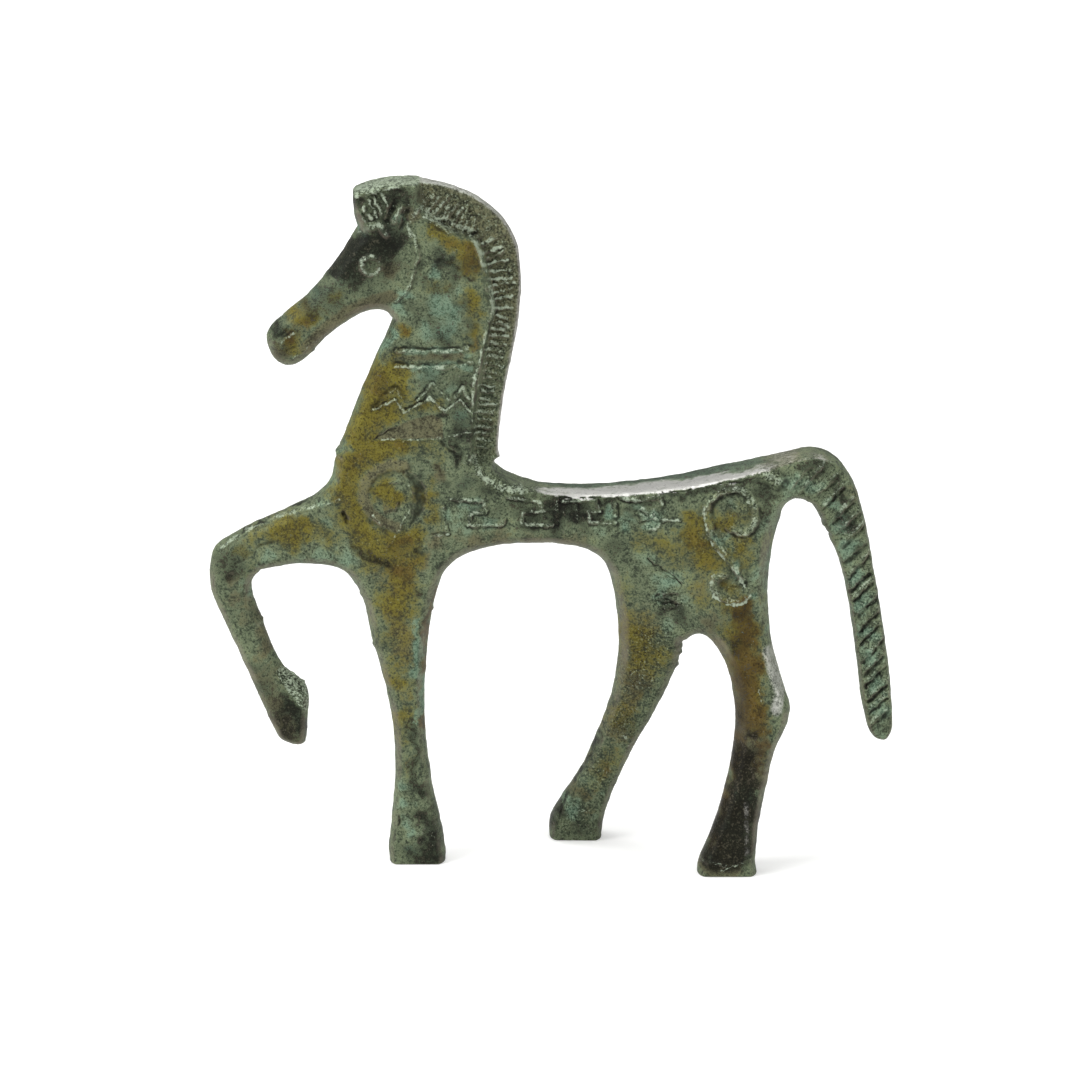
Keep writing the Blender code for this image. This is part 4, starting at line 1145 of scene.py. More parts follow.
RUST = (
    (30.4, 38.4, 2.8, 0.5), (31.2, 33.4, 2.6, 0.5), (30.2, 43.0, 2.4, 0.45), (-24.4, 52.6, 2.6, 0.35),
    (-26.0, 48.4, 2.2, 0.3), (-23.0, 63.8, 1.6, 0.3),
    (30.2, 26.0, 2.6, 0.75), (-27.0, 78.2, 2.6, 0.45), (30.6, 29.4, 2.2, 0.5), (3.6, 9.0, 1.6, 0.4),
    (5.4, 8.6, 1.8, 0.6), (6.4, 4.6, 1.4, 0.6), (13.0, 26.0, 2.4, 0.3), (33.4, 19.4, 2.0, 0.5),
    (30.6, 16.6, 3.0, 0.5), (29.0, 10.4, 3.0, 0.45), (-12.0, 84.6, 1.4, 0.3), (-16.4, 93.4, 1.6, 0.25),
    (31.4, 30.4, 3.0, 0.55), (30.6, 34.0, 2.6, 0.4), (-26.6, 71.6, 2.0, 0.35), (-31.6, 62.6, 2.4, 0.35),
    (-29.4, 66.6, 1.8, 0.35), (-27.6, 76.8, 1.6, 0.3), (-20.6, 57.0, 1.6, 0.3), (22.6, 54.6, 2.2, 0.35),
    (29.8, 41.0, 2.8, 0.45), (30.6, 36.4, 2.8, 0.45), (31.2, 31.4, 2.8, 0.5), (31.6, 27.4, 3.0, 0.6),
    (31.8, 23.0, 3.0, 0.7), (-42.6, 23.4, 1.8, 0.35), (-38.8, 86.2, 1.8, 0.4), (-12.2, 97.8, 1.4, 0.3),
    (-30.6, 47.0, 2.0, 0.25), (-22.4, 49.4, 1.6, 0.5), (13.4, 28.4, 2.6, 0.3), (9.6, 16.4, 2.0, 0.35),
    (-14.8, 100.0, 2.4, 0.5), (-12.6, 96.6, 1.6, 0.5), (28.6, 26.0, 1.8, 0.6), (28.4, 17.6, 1.4, 0.6),
    (30.0, 30.0, 2.0, 0.4), (26.6, 12.0, 1.2, 0.5),
    (-38.4, 88.0, 1.6, 0.6), (-40.7, 84.6, 1.3, 0.8), (-16.8, 101.0, 1.3, 0.5), (-13.4, 98.2, 1.6, 0.45),
    (-23.2, 86.6, 1.1, 0.9), (-12.4, 83.6, 0.9, 0.6), (-24.6, 68.0, 1.2, 0.6), (-30.4, 70.6, 0.9, 0.5),
    (-30.8, 66.0, 1.6, 0.4), (-32.6, 58.6, 1.4, 0.4), (-22.8, 52.6, 1.6, 0.6), (-24.6, 48.6, 2.2, 0.75),
    (-22.3, 47.2, 1.9, 0.6), (-25.0, 44.6, 1.8, 0.4), (-22.4, 17.0, 0.9, 0.6), (-22.6, 33.5, 1.6, 0.3),
    (23.5, 52.4, 1.7, 0.6), (25.0, 49.6, 1.5, 0.4), (29.4, 41.4, 2.4, 0.85), (31.0, 37.0, 2.0, 0.5),
    (31.2, 33.6, 1.7, 0.7), (32.2, 26.0, 2.0, 0.95), (34.0, 23.6, 1.6, 0.75), (30.4, 24.8, 1.7, 0.7),
    (29.4, 21.6, 1.5, 0.75), (33.2, 20.4, 1.4, 0.85), (33.0, 17.8, 1.2, 0.7), (30.4, 18.6, 1.4, 0.5),
    (9.4, 12.5, 1.6, 0.6), (13.2, 33.0, 2.2, 0.3), (11.8, 23.0, 2.0, 0.3), (27.8, 46.2, 0.9, 0.5),
)
SOOTY = (
    (30.2, 41.0, 2.0, 0.3), (29.8, 36.0, 2.0, 0.3), (-17.0, 92.6, 1.6, 0.45), (-14.2, 90.0, 1.4, 0.4),
    (-19.4, 94.6, 1.4, 0.4), (-12.8, 86.6, 1.4, 0.35), (-16.4, 85.4, 1.6, 0.4), (-14.0, 73.4, 2.0, 0.4),
    (-14.6, 69.6, 1.8, 0.45), (-12.0, 58.0, 1.4, 0.45), (-9.2, 56.8, 1.2, 0.4), (-6.4, 58.6, 1.4, 0.45),
    (8.4, 58.8, 1.2, 0.4), (12.6, 57.6, 1.2, 0.4), (47.0, 55.6, 2.2, 0.35), (45.2, 59.6, 2.0, 0.35),
    (-26.6, 77.2, 1.8, 0.2), (-22.0, 88.6, 1.4, 0.35), (28.6, 57.6, 1.6, 0.35), (26.4, 55.4, 1.4, 0.3),
    (-28.8, 100.0, 2.6, 1.0), (-31.0, 98.2, 2.2, 0.95), (-26.2, 99.4, 2.4, 0.85), (-33.4, 95.8, 1.9, 0.75),
    (-30.4, 95.4, 2.2, 0.45), (-35.8, 92.6, 1.8, 0.45), (-37.4, 89.2, 1.6, 0.3), (-32.6, 90.6, 2.2, 0.25),
    (29.4, 27.4, 2.2, 0.45), (30.4, 24.2, 2.4, 0.35), (-21.0, 2.4, 2.4, 0.4), (-51.0, 48.0, 2.0, 0.3),
    (-41.0, 22.4, 2.2, 0.35), (-17.5, 81.6, 2.6, 0.3), (-17.2, 86.6, 2.8, 0.28), (-14.6, 96.0, 1.8, 0.4),
    (33.0, 9.0, 2.4, 0.6), (33.6, 14.6, 2.0, 0.4), (24.6, 4.0, 2.4, 0.4), (-28.0, 91.4, 3.0, 0.1),
    (-28.2, 100.6, 2.4, 0.6), (-25.0, 100.6, 2.4, 0.6), (-23.6, 96.4, 2.8, 0.25), (-30.2, 97.6, 2.4, 0.3),
    (-17.0, 83.6, 5.0, 0.15), (-26.0, 92.6, 3.0, 0.15),
    (-1.0, 57.2, 3.2, 0.4), (-32.0, 92.6, 2.6, 0.2),
    (-51.6, 47.6, 3.4, 0.42), (-50.0, 50.6, 2.6, 0.35), (-48.8, 40.0, 2.8, 0.22), (-43.0, 24.0, 3.0, 0.5),
    (-41.4, 20.0, 2.4, 0.45), (-32.8, 97.4, 2.6, 0.45), (-29.4, 99.6, 2.6, 0.5), (-25.8, 100.4, 2.4, 0.6),
    (-26.8, 104.6, 3.6, 0.2), (-36.8, 89.6, 2.6, 0.25), (-40.8, 86.4, 3.0, 0.25), (-17.6, 90.6, 3.0, 0.15),
    (-16.8, 76.2, 3.0, 0.2), (-15.0, 71.4, 2.4, 0.3), (30.6, 18.4, 3.6, 0.45), (31.8, 22.4, 3.2, 0.35),
    (31.0, 30.4, 3.6, 0.2), (-18.4, 3.4, 2.4, 0.5), (-22.0, 2.6, 2.6, 0.3),
    (-27.0, 96.0, 4.2, 0.32), (-31.0, 95.5, 3.2, 0.35), (-27.6, 106.2, 3.0, 0.5), (-23.5, 102.4, 1.8, 0.35),
    (-35.5, 91.6, 3.0, 0.25), (-42.4, 84.4, 2.4, 0.3), (-46.6, 31.0, 2.4, 0.35), (-45.0, 27.0, 2.4, 0.45),
    (-43.6, 22.6, 2.6, 0.5), (-41.8, 19.4, 2.0, 0.45), (-21.2, 50.8, 0.9, 0.8), (27.8, 9.0, 3.0, 0.5),
    (31.2, 5.0, 3.0, 0.6), (26.0, 4.0, 2.6, 0.5), (31.8, 12.5, 2.4, 0.5), (29.2, 14.0, 2.6, 0.5),
    (-19.4, 6.5, 2.4, 0.6), (30.2, 33.0, 3.4, 0.2), (29.6, 39.5, 3.0, 0.3), (25.4, 39.4, 2.0, 0.25),
    (-27.8, 49.8, 1.4, 0.4),
    (-42.9, 86.2, 1.2, 0.75), (-42.0, 82.2, 1.6, 0.4), (-31.0, 94.2, 1.9, 0.35), (-33.5, 96.2, 1.3, 0.8),
    (-31.5, 99.0, 1.6, 0.9), (-28.8, 101.0, 1.5, 0.95), (-26.3, 100.6, 1.7, 0.95), (-24.2, 99.5, 1.5, 0.75),
    (-24.9, 96.6, 1.9, 0.4), (-30.3, 106.8, 1.2, 0.8), (-29.8, 104.2, 1.1, 0.6), (-25.2, 103.6, 0.9, 0.9),
    (-24.6, 108.2, 1.9, 0.75), (-22.4, 107.2, 1.6, 0.85), (-22.7, 104.6, 0.8, 0.75), (-20.2, 108.2, 1.4, 0.5),
    (-18.0, 98.7, 1.4, 0.55), (-17.5, 97.2, 1.2, 0.65), (-16.2, 97.6, 1.0, 0.55), (-15.4, 94.6, 1.4, 0.5),
    (-12.8, 94.6, 1.2, 0.5), (-13.4, 97.6, 2.0, 0.22), (-13.8, 78.4, 1.8, 0.5), (-12.9, 75.2, 1.4, 0.5),
    (-18.8, 78.6, 1.6, 0.25), (-17.0, 72.7, 0.9, 0.8), (-26.4, 68.0, 0.5, 0.6), (-15.6, 67.6, 1.0, 0.8),
    (-14.6, 66.0, 1.1, 0.8), (-13.0, 69.4, 1.5, 0.6), (-11.0, 70.5, 1.8, 0.5), (-17.9, 64.2, 1.1, 0.6),
    (-16.8, 62.2, 1.0, 0.55), (-13.4, 62.6, 1.9, 0.5), (-10.5, 60.8, 1.4, 0.4), (-16.8, 58.6, 0.6, 0.6),
    (-4.8, 58.8, 1.7, 0.5), (-3.5, 56.4, 1.9, 0.7), (-0.5, 59.0, 1.7, 0.75), (0.2, 56.4, 1.5, 0.85),
    (1.5, 58.4, 1.9, 0.95), (4.0, 57.2, 1.9, 0.95), (6.4, 57.2, 1.5, 0.9), (5.0, 54.4, 1.7, 0.5),
    (0.5, 53.8, 1.6, 0.45), (9.4, 51.2, 2.2, 0.4), (8.6, 47.6, 1.8, 0.5), (-8.4, 58.6, 1.0, 0.4),
    (-28.8, 50.6, 1.6, 0.35), (-21.2, 44.4, 0.9, 0.6), (-51.6, 46.4, 1.6, 0.65), (-46.0, 38.6, 1.2, 0.25),
    (-45.0, 34.4, 1.3, 0.25), (-41.3, 23.8, 1.3, 0.7), (-39.8, 21.9, 1.2, 0.8), (-43.2, 20.6, 1.6, 0.3),
    (18.5, 42.0, 2.0, 0.55), (20.4, 40.5, 1.8, 0.5), (17.0, 41.0, 1.2, 0.5), (28.4, 42.0, 2.2, 0.35),
    (29.2, 35.8, 1.1, 0.5), (31.6, 22.8, 1.4, 0.85), (29.2, 24.6, 1.2, 0.5), (29.2, 19.6, 1.5, 0.6),
    (31.4, 18.6, 1.4, 0.7), (30.8, 15.4, 2.2, 0.7), (30.2, 12.0, 2.6, 0.8), (29.6, 8.6, 3.0, 0.8),
    (28.6, 5.4, 3.4, 0.8), (27.6, 3.6, 3.2, 0.7), (26.4, 7.0, 1.8, 0.7), (25.0, 2.0, 2.0, 0.5),
    (14.0, 28.0, 2.4, 0.3), (12.0, 20.5, 2.4, 0.35), (1.5, 4.5, 1.6, 0.5), (4.5, 2.0, 2.0, 0.5),
    (7.5, 2.5, 1.5, 0.5), (-20.5, 12.0, 1.6, 0.5), (-20.3, 8.0, 1.4, 0.85), (-18.8, 4.6, 1.6, 0.65),
    (-18.5, 1.8, 1.5, 0.85), (-21.4, 4.4, 0.9, 0.7), (-20.6, 1.2, 1.3, 0.6), (-24.4, 6.8, 0.5, 0.9),
    (-23.0, 1.2, 1.6, 0.35), (42.0, 64.8, 1.8, 0.7), (44.6, 63.2, 1.6, 0.75), (39.9, 65.0, 1.2, 0.5),
    (44.9, 61.0, 1.2, 0.6), (46.6, 59.0, 1.1, 0.65), (45.4, 56.3, 1.1, 0.6), (47.8, 54.8, 1.3, 0.65),
    (49.0, 51.0, 1.2, 0.5),
)
GREEN = (
    (2.6, 7.0, 1.6, 0.6), (8.2, 8.4, 1.2, 0.5), (-31.0, 45.8, 1.6, 0.5), (-45.4, 48.4, 1.6, 0.5),
    (33.4, 54.6, 2.4, 0.5), (33.2, 49.0, 2.2, 0.7), (33.4, 43.2, 1.6, 0.6), (36.4, 59.4, 2.0, 0.6),
    (-38.5, 91.2, 1.6, 0.65), (-36.3, 92.4, 1.4, 0.65), (-33.6, 94.2, 1.2, 0.4), (-29.5, 102.6, 1.2, 0.8),
    (-23.6, 104.6, 0.9, 0.8), (-23.0, 92.0, 1.1, 0.8), (-23.8, 90.0, 1.3, 0.85), (-22.0, 91.6, 1.1, 0.9),
    (-18.2, 96.0, 1.4, 0.9), (-17.6, 91.0, 1.9, 0.9), (-15.8, 89.4, 1.9, 0.85), (-20.0, 88.0, 1.6, 0.6),
    (-19.5, 86.2, 2.2, 0.75), (-16.0, 86.8, 2.2, 0.8), (-14.6, 92.4, 1.3, 0.6), (-18.8, 79.4, 2.0, 0.7),
    (-15.4, 77.0, 1.6, 0.55), (-14.2, 72.8, 1.7, 0.75), (-19.0, 67.6, 1.5, 0.5), (-35.2, 59.2, 1.3, 0.65),
    (-34.9, 55.2, 1.4, 0.55), (-15.6, 57.4, 1.6, 0.75), (-12.6, 58.4, 1.8, 0.75), (-13.4, 62.6, 1.8, 0.45),
    (-10.0, 56.4, 1.7, 0.75), (-14.6, 54.8, 1.6, 0.5), (9.0, 57.8, 1.7, 0.95), (7.6, 54.6, 1.8, 0.5),
    (11.6, 55.6, 1.8, 0.85), (15.9, 57.0, 1.9, 0.95), (13.6, 58.6, 1.5, 0.7), (14.4, 50.4, 2.4, 0.6),
    (21.0, 55.0, 1.3, 0.6), (18.2, 46.4, 2.2, 0.95), (21.4, 47.6, 1.8, 0.6), (17.2, 43.4, 1.5, 0.8),
    (21.0, 43.6, 1.8, 0.5), (18.6, 38.0, 2.2, 0.55), (28.4, 58.8, 1.4, 0.5), (31.0, 44.2, 1.0, 0.95),
    (34.6, 57.0, 1.8, 0.5), (34.2, 51.5, 1.5, 0.55), (33.9, 45.5, 1.4, 0.6), (34.0, 39.2, 1.1, 0.75),
    (-40.5, 49.2, 1.6, 0.65), (-36.5, 49.8, 1.9, 0.7), (-33.0, 49.6, 2.0, 0.7), (-44.6, 49.2, 1.4, 0.5),
    (-47.5, 43.2, 1.1, 0.85), (-45.8, 38.2, 0.7, 0.9), (-49.0, 45.4, 1.2, 0.4), (-23.2, 13.0, 1.3, 0.85),
    (-23.3, 9.5, 1.4, 0.85), (-22.8, 6.0, 1.4, 0.85), (-22.6, 2.6, 1.2, 0.6), (6.0, 11.0, 1.8, 0.55),
    (3.5, 5.0, 2.0, 0.8), (7.0, 4.0, 1.2, 0.5), (28.0, 14.8, 0.8, 0.6), (38.4, 62.4, 2.4, 0.7),
    (41.6, 62.0, 1.8, 0.7), (44.6, 58.6, 2.0, 0.75), (46.2, 55.0, 2.0, 0.8), (47.4, 51.0, 2.2, 0.85),
    (48.4, 46.5, 2.2, 0.9), (49.4, 42.0, 2.2, 0.9), (50.4, 37.5, 2.3, 0.9), (51.2, 33.0, 2.3, 0.9),
    (51.8, 28.5, 2.2, 0.85), (52.8, 24.0, 2.2, 0.8), (53.0, 20.5, 1.6, 0.5),
)
GRITTY = (
    (18.5, 42.5, 3.0, 1.0), (16.0, 36.0, 4.5, 0.8), (14.0, 29.0, 4.5, 0.8), (12.0, 21.0, 4.0, 0.8),
    (8.0, 12.0, 3.5, 0.7), (4.0, 4.0, 4.0, 0.9), (35.0, 63.0, 1.8, 1.0), (-11.6, 64.6, 2.2, 1.0),
    (-8.5, 62.0, 1.8, 0.9), (-4.5, 60.9, 1.8, 0.8), (-19.6, 5.0, 3.4, 0.9), (-12.6, 70.0, 2.6, 0.7),
    (-27.2, 106.2, 3.2, 0.9), (-23.4, 105.8, 2.4, 0.8), (2.0, 57.4, 4.5, 0.6), (-12.0, 57.5, 2.6, 0.5),
    (15.4, 57.2, 2.6, 0.8), (43.0, 63.0, 3.4, 0.6), (47.0, 56.0, 3.4, 0.5), (50.0, 44.0, 4.0, 0.5),
    (51.0, 36.0, 4.0, 0.5), (52.2, 28.0, 4.0, 0.5), (-17.4, 97.4, 2.4, 0.6), (-14.6, 78.0, 2.4, 0.5),
    (27.0, 53.5, 3.4, 0.5), (29.0, 59.5, 3.4, 0.5), (29.5, 46.0, 2.6, 0.5), (-42.0, 86.0, 1.6, 0.6),
)
UMBER = (
    (-47.6, 41.0, 2.2, 0.45), (-46.4, 33.0, 2.2, 0.4), (13.8, 40.0, 3.4, 0.45),
    (31.2, 17.0, 4.0, 0.8), (29.6, 10.0, 4.0, 0.85), (28.0, 4.0, 4.0, 0.85), (33.6, 15.6, 2.4, 0.6),
    (12.6, 28.0, 3.6, 0.5), (10.0, 21.0, 3.4, 0.5), (7.6, 13.4, 3.0, 0.4), (-44.6, 29.6, 2.6, 0.4),
    (-42.2, 82.4, 2.0, 0.95), (-24.7, 96.2, 2.3, 0.95), (-21.6, 105.2, 1.7, 0.8), (-25.2, 57.6, 1.1, 0.8),
    (-24.6, 45.4, 2.8, 0.9), (-20.0, 49.4, 1.8, 0.8), (-17.6, 52.4, 2.2, 0.8), (-12.4, 52.8, 2.4, 0.85),
    (-17.8, 63.5, 1.7, 0.85), (-8.0, 53.0, 2.4, 0.7), (-3.0, 52.6, 2.4, 0.6), (3.0, 52.6, 2.6, 0.6),
    (-28.0, 47.6, 1.8, 0.5), (-25.6, 41.0, 2.5, 0.85), (-23.6, 38.0, 2.7, 0.95), (-23.6, 34.6, 2.2, 0.85),
    (-24.0, 28.5, 2.0, 0.5), (-51.2, 45.6, 1.9, 0.85), (-50.4, 42.0, 2.0, 0.7), (-48.6, 38.0, 1.8, 0.5),
    (-46.3, 39.0, 1.4, 0.7), (-45.6, 36.4, 1.4, 0.8), (-45.2, 34.0, 1.3, 0.7), (-46.0, 29.0, 1.8, 0.5),
    (-44.4, 25.6, 2.2, 0.85), (-42.8, 21.8, 2.4, 0.95), (-41.4, 19.6, 1.8, 0.9), (14.5, 37.0, 3.6, 0.6),
    (13.5, 31.0, 3.6, 0.6), (12.5, 25.0, 3.2, 0.6), (10.5, 19.0, 2.4, 0.5), (25.0, 39.6, 2.2, 0.8),
    (26.8, 36.0, 1.9, 0.9), (28.2, 31.8, 1.4, 0.9), (28.6, 27.0, 1.3, 0.9), (28.8, 22.0, 1.5, 0.8),
    (33.6, 28.6, 1.8, 0.5), (31.0, 20.0, 2.6, 0.7), (27.6, 12.0, 1.8, 0.6), (25.4, 6.6, 2.0, 0.6),
    (24.6, 1.5, 2.2, 0.9), (28.2, 1.0, 2.6, 0.85), (23.6, 45.4, 2.3, 0.5), (22.6, 49.6, 1.8, 0.4),
    (47.8, 60.4, 1.6, 0.5), (49.8, 54.6, 1.4, 0.5),
)

# Longer marks of one colour: half width, strength and path
GREEN_STREAKS = (
    (0.9, 0.8, ((-25.0, 85.6), (-27.2, 81.5), (-30.0, 75.0), (-32.9, 67.5), (-34.7, 61.7))),
    (0.5, 1.0, ((-20.9, 40.0), (-21.2, 33.0), (-21.0, 28.0), (-20.8, 23.6))),
    (0.5, 0.8, ((25.0, 57.6), (26.4, 53.8), (28.2, 51.1), (29.8, 48.4))),
    (0.5, 0.7, ((-22.0, 83.0), (-13.0, 83.4))),
    (0.5, 0.7, ((-21.5, 80.6), (-13.0, 81.2))),
)
SOOT_AND_SHADE_STREAKS = (
    (2.3, 0.8, ((31.0, 17.0), (30.2, 13.0), (28.8, 8.0), (28.0, 2.4))),
    (0.7, 0.55, ((-30.8, 51.8), (-28.5, 50.2), (-26.6, 49.3))),
    (0.7, 0.6, ((34.0, 56.8), (34.3, 61.0), (31.5, 62.4), (24.0, 61.4), (12.0, 59.9), (2.0, 59.8))),
    # Painted shade on the side of the far foot that turns away
    (0.6, 0.6, ((7.4, 19.5), (5.2, 14.0), (1.7, 8.0), (0.1, 2.6))),
    (0.6, 0.5, ((-43.4, 27.4), (-41.4, 24.4), (-39.2, 21.4))),
    (0.7, 0.55, ((-21.7, 24.0), (-21.4, 20.6), (-21.7, 16.5), (-21.3, 12.0))),
    (0.5, 0.5, ((-34.6, 95.6), (-32.6, 98.0), (-31.0, 100.4))),
)
# Rubbed bare metal; the first streak, down the near shank, is a painted sheen
BARE_AND_SHEEN_STREAKS = (
    (0.5, 0.2, ((30.9, 11.6), (31.0, 6.4), (31.1, 3.4))),
    (1.0, 0.42, ((34.3, 35.4), (35.3, 32.0), (36.2, 29.0), (35.6, 26.4))),
)
UMBER_STREAKS = (
    (
        0.9, 0.95,
        (
            (-23.2, 64.9), (-25.2, 65.1), (-27.6, 64.1), (-29.3, 62.1), (-29.7, 59.5),
            (-28.4, 57.2), (-26.6, 55.9), (-24.4, 55.0),
        ),
    ),
    (0.6, 0.6, ((-24.0, 82.0), (-14.0, 82.3))),
    (1.0, 0.9, ((-38.6, 83.4), (-35.2, 86.8), (-31.6, 89.5), (-27.5, 91.2), (-25.0, 91.8))),
)
RUST_STREAKS = (
    (1.0, 0.7, ((29.6, 23.0), (29.0, 18.0), (27.4, 11.4), (25.4, 5.4))),
    (0.5, 0.8, ((-18.4, 45.0), (-19.5, 38.0), (-19.9, 30.0), (-19.5, 22.0))),
)

# Where a patch and a streak fade, as shares of their radius and half width
PATCH_BORDER = (0.1, 1.4)
STREAK_BORDER = (0.4, 1.6)

# The polished band along the back, which also carries a painted reflection on the near half of its
# top and painted shade on the far half, begins between the first two places along X and ends
# between the others; on the tail it turns brown
POLISHED_BACK = ((-6.5, 3.5), (37.5, 45.5))
TAIL_TOP = (28.0, 38.0)
BACK_HEIGHT = 57
SHARP_CORNER = 70

# Brightness of the room at the horizon and overhead
ROOM_LOW = 0.3
ROOM_TOP = 0.75

# The white table: half its width, how far it lies below the feet and how bright it is under the horse
FLOOR_REACH = 4.0
FLOOR_GAP = 0.0001
FLOOR_GLOW = 0.34

# Studio lamps: name, place, width and power
LAMPS = (
    ("top_lamp", (-0.1, 0.1, 0.8), 0.5, 2.7),
    ("left_lamp", (-0.7, -0.38, 0.55), 0.55, 6.5),
    ("right_lamp", (0.7, -0.45, 0.3), 0.4, 2.5),
)
LAMP_AIM = (0, 0, 0.05)

# The camera: how far it looks down in degrees, its distance, the point it looks at and its lens
CAMERA_TILT = 13.0
CAMERA_DISTANCE = 0.7
CAMERA_AIM = (-0.00188, -0.0004, 0.0519)
CAMERA_LENS = 146.75


def soft_patches(x, z, patches, streaks=()):
    """How much of one colour lies at each place."""
    bare = np.ones(len(x))
    for px, pz, radius, strength in patches:
        gap = np.hypot(x - px, z - pz) / radius
        bare *= 1 - strength * fade(gap, *PATCH_BORDER)
    for half_width, strength, path in streaks:
        gap = path_offset(path, x, z)[0] / half_width
        bare *= 1 - strength * fade(gap, *STREAK_BORDER)
    return 1 - bare


def skin_marks(x, z, far_side):
    """The share of every colour and finish at each place of the casting."""
    skip = FAR_PATTERNS if far_side else 0
    wx = x + waver("stain_x", x, z, skip=skip) + waver("stain_fine", x, z, skip=skip)
    wz = z + waver("stain_z", x, z, skip=skip)
    _, crest, hollow = relief(x, z, far_side)
    mane = mane_share(x, z)
    facet = in_polygon(HOOF_FACET, x, z)
    wedge = in_polygon(WEDGE, x, z)
    ring = soft_patches(x, z, (), UMBER_STREAKS)
    stray = (1 - np.maximum(mane, facet)) * (1 - wedge) * (1 - 0.85 * ring)
    umber = soft_patches(wx, wz, UMBER)
    mane_brown = mane * (0.3 + 0.3 * smooth_step(z, CLEAR_RIBS[0] - 5, CLEAR_RIBS[0] + 3))
    return {
        "gilt": soft_patches(wx, wz, GILT) * stray,
        "rust": soft_patches(wx, wz, RUST, RUST_STREAKS) * stray,
        "umber": np.maximum(np.maximum(umber, ring), np.maximum(mane_brown, 0.95 * wedge)),
        "soot_and_shade": soft_patches(wx, wz, SOOTY, SOOT_AND_SHADE_STREAKS) * (1 - 0.8 * facet),
        "green": soft_patches(wx, wz, GREEN, GREEN_STREAKS) * (1 - 0.6 * mane),
        "gritty": np.maximum(soft_patches(wx, wz, GRITTY), np.maximum(0.6 * mane, facet)),
        "crest": np.maximum(crest, 0.42 * facet),
        "hollow": hollow,
        "bare": soft_patches(x, z, (), BARE_AND_SHEEN_STREAKS),
    }


def read_vectors(data, name):
    """One vector for each vertex of a mesh."""
    rows = np.zeros(len(data.vertices) * 3, np.float32)
    data.vertices.foreach_get(name, rows)
    return rows.reshape(-1, 3).astype(float)


def finish_surface(data, shift, outline):
    """Give the plain casting its waver, sand grain and pits, and write its colours."""
    place = read_vectors(data, "co")
    normal = read_vectors(data, "normal")
    x, y, z = (place - shift).T
    half, middle = body_field(x, z)
    far = y > middle
    marks = {}
    for far_side, chosen in ((False, ~far), (True, far)):
        for name, share in skin_marks(x[chosen], z[chosen], far_side).items():
            marks.setdefault(name, np.zeros(len(x)))[chosen] = share
    gap, _ = outline.inset(x, z)
    # The top of the back: bare polished metal with a painted reflection of the light overhead on its near
    # half, and painted shade on its far half
    far_share = (y - middle) / half
    along = x + waver("back_ends", x, y)
    on_back = smooth_step(along, *POLISHED_BACK[0]) * fade(along, *POLISHED_BACK[1])
    top = smooth_step(normal[:, 2], 0.45, 0.85) * fade(gap, 0.9, 1.5) * (z > BACK_HEIGHT) * on_back
    tail_top = top * smooth_step(along, *TAIL_TOP)
    border = waver("back_border", x, y) - 0.5 * smooth_step(along, 16, 34)
    near_polish_and_reflection = smooth_step(border - far_share, -0.35, 0.6)
    near_polish_and_reflection *= 1 - 0.6 * tail_top
    streaks = 0.8 + waver("back_streaks", x * 0.2, y) + waver("back_flecks", x, y)
    marks["bare"] = np.maximum(marks["bare"], np.maximum(top * near_polish_and_reflection * streaks, 0.26 * tail_top))
    far_painted_shade = top * (1 - near_polish_and_reflection) * (1 - tail_top)
    marks["soot_and_shade"] = np.maximum(marks["soot_and_shade"] * (1 - top), 0.55 * far_painted_shade)
    marks["green"] = np.maximum(marks["green"] * (1 - top), 0.7 * far_painted_shade)
    marks["umber"] = np.maximum(marks["umber"] * (1 - top), 0.6 * tail_top)
    marks["gilt"] *= 1 - top
    # Painted light from above: up-facing surfaces on top of the head get the pale crest colour, with set
    # shares of grit and soot
    crown_highlight = smooth_step(normal[:, 2], 0.3, 0.8) * smooth_step(z, 100.0, 104.0)
    marks["crest"] = np.maximum(marks["crest"] * (1 - crown_highlight), 0.5 * crown_highlight)
    marks["gritty"] = np.maximum(marks["gritty"] * (1 - crown_highlight), 0.45 * crown_highlight)
    marks["soot_and_shade"] = marks["soot_and_shade"] * (1 - crown_highlight) + 0.12 * crown_highlight
    # Painted reflection: rounded edges turned partly sideways and not facing up get a warm pale rim, as the
    # white room reflects at a slant
    turned = np.abs(normal[:, 1])
    marks["rim"] = smooth_step(turned, 0.25, 0.45) * fade(turned, 0.7, 0.9)
    marks["rim"] *= (0.55 + waver("rim", x, z)) * fade(normal[:, 2], -0.1, 0.3)
    edge = fade(gap, 0.3, 1.5)
    mane = mane_share(x, z)
    mane_edge = edge * mane
    marks["gritty"] *= 1 - 0.6 * mane_edge
    # A painted highlight in bare metal colour along the outer edge of the mane
    mane_crest_highlight = fade(gap, 0.15, 0.55) * mane
    marks["bare"] = np.maximum(marks["bare"], 0.15 * mane_edge + 0.3 * mane_crest_highlight)
    marks["edge"] = edge
    grit = marks["gritty"]
    push = waver("skin", x, y, z) + grit * waver("grit", x, y, z)
    pit = waver("pits", x, y, z)
    push -= 0.16 * smooth_step(pit, 0.62, 0.9) * (0.35 + grit)
    push *= smooth_step(z, 0.05, 1.2)
    place += normal * push[:, None]
    low, high = (np.array(corner) / MM for corner in cad_box)
    place = np.clip(place, low, high)
    data.vertices.foreach_set("co", (place * MM).astype(np.float32).ravel())
    marks["pitted"] = smooth_step(pit, 0.55, 0.85) * (0.35 + grit)
    for name, share in marks.items():
        layer = data.attributes.new(name, "FLOAT", "POINT")
        layer.data.foreach_set("value", share.astype(np.float32))
    data.update()


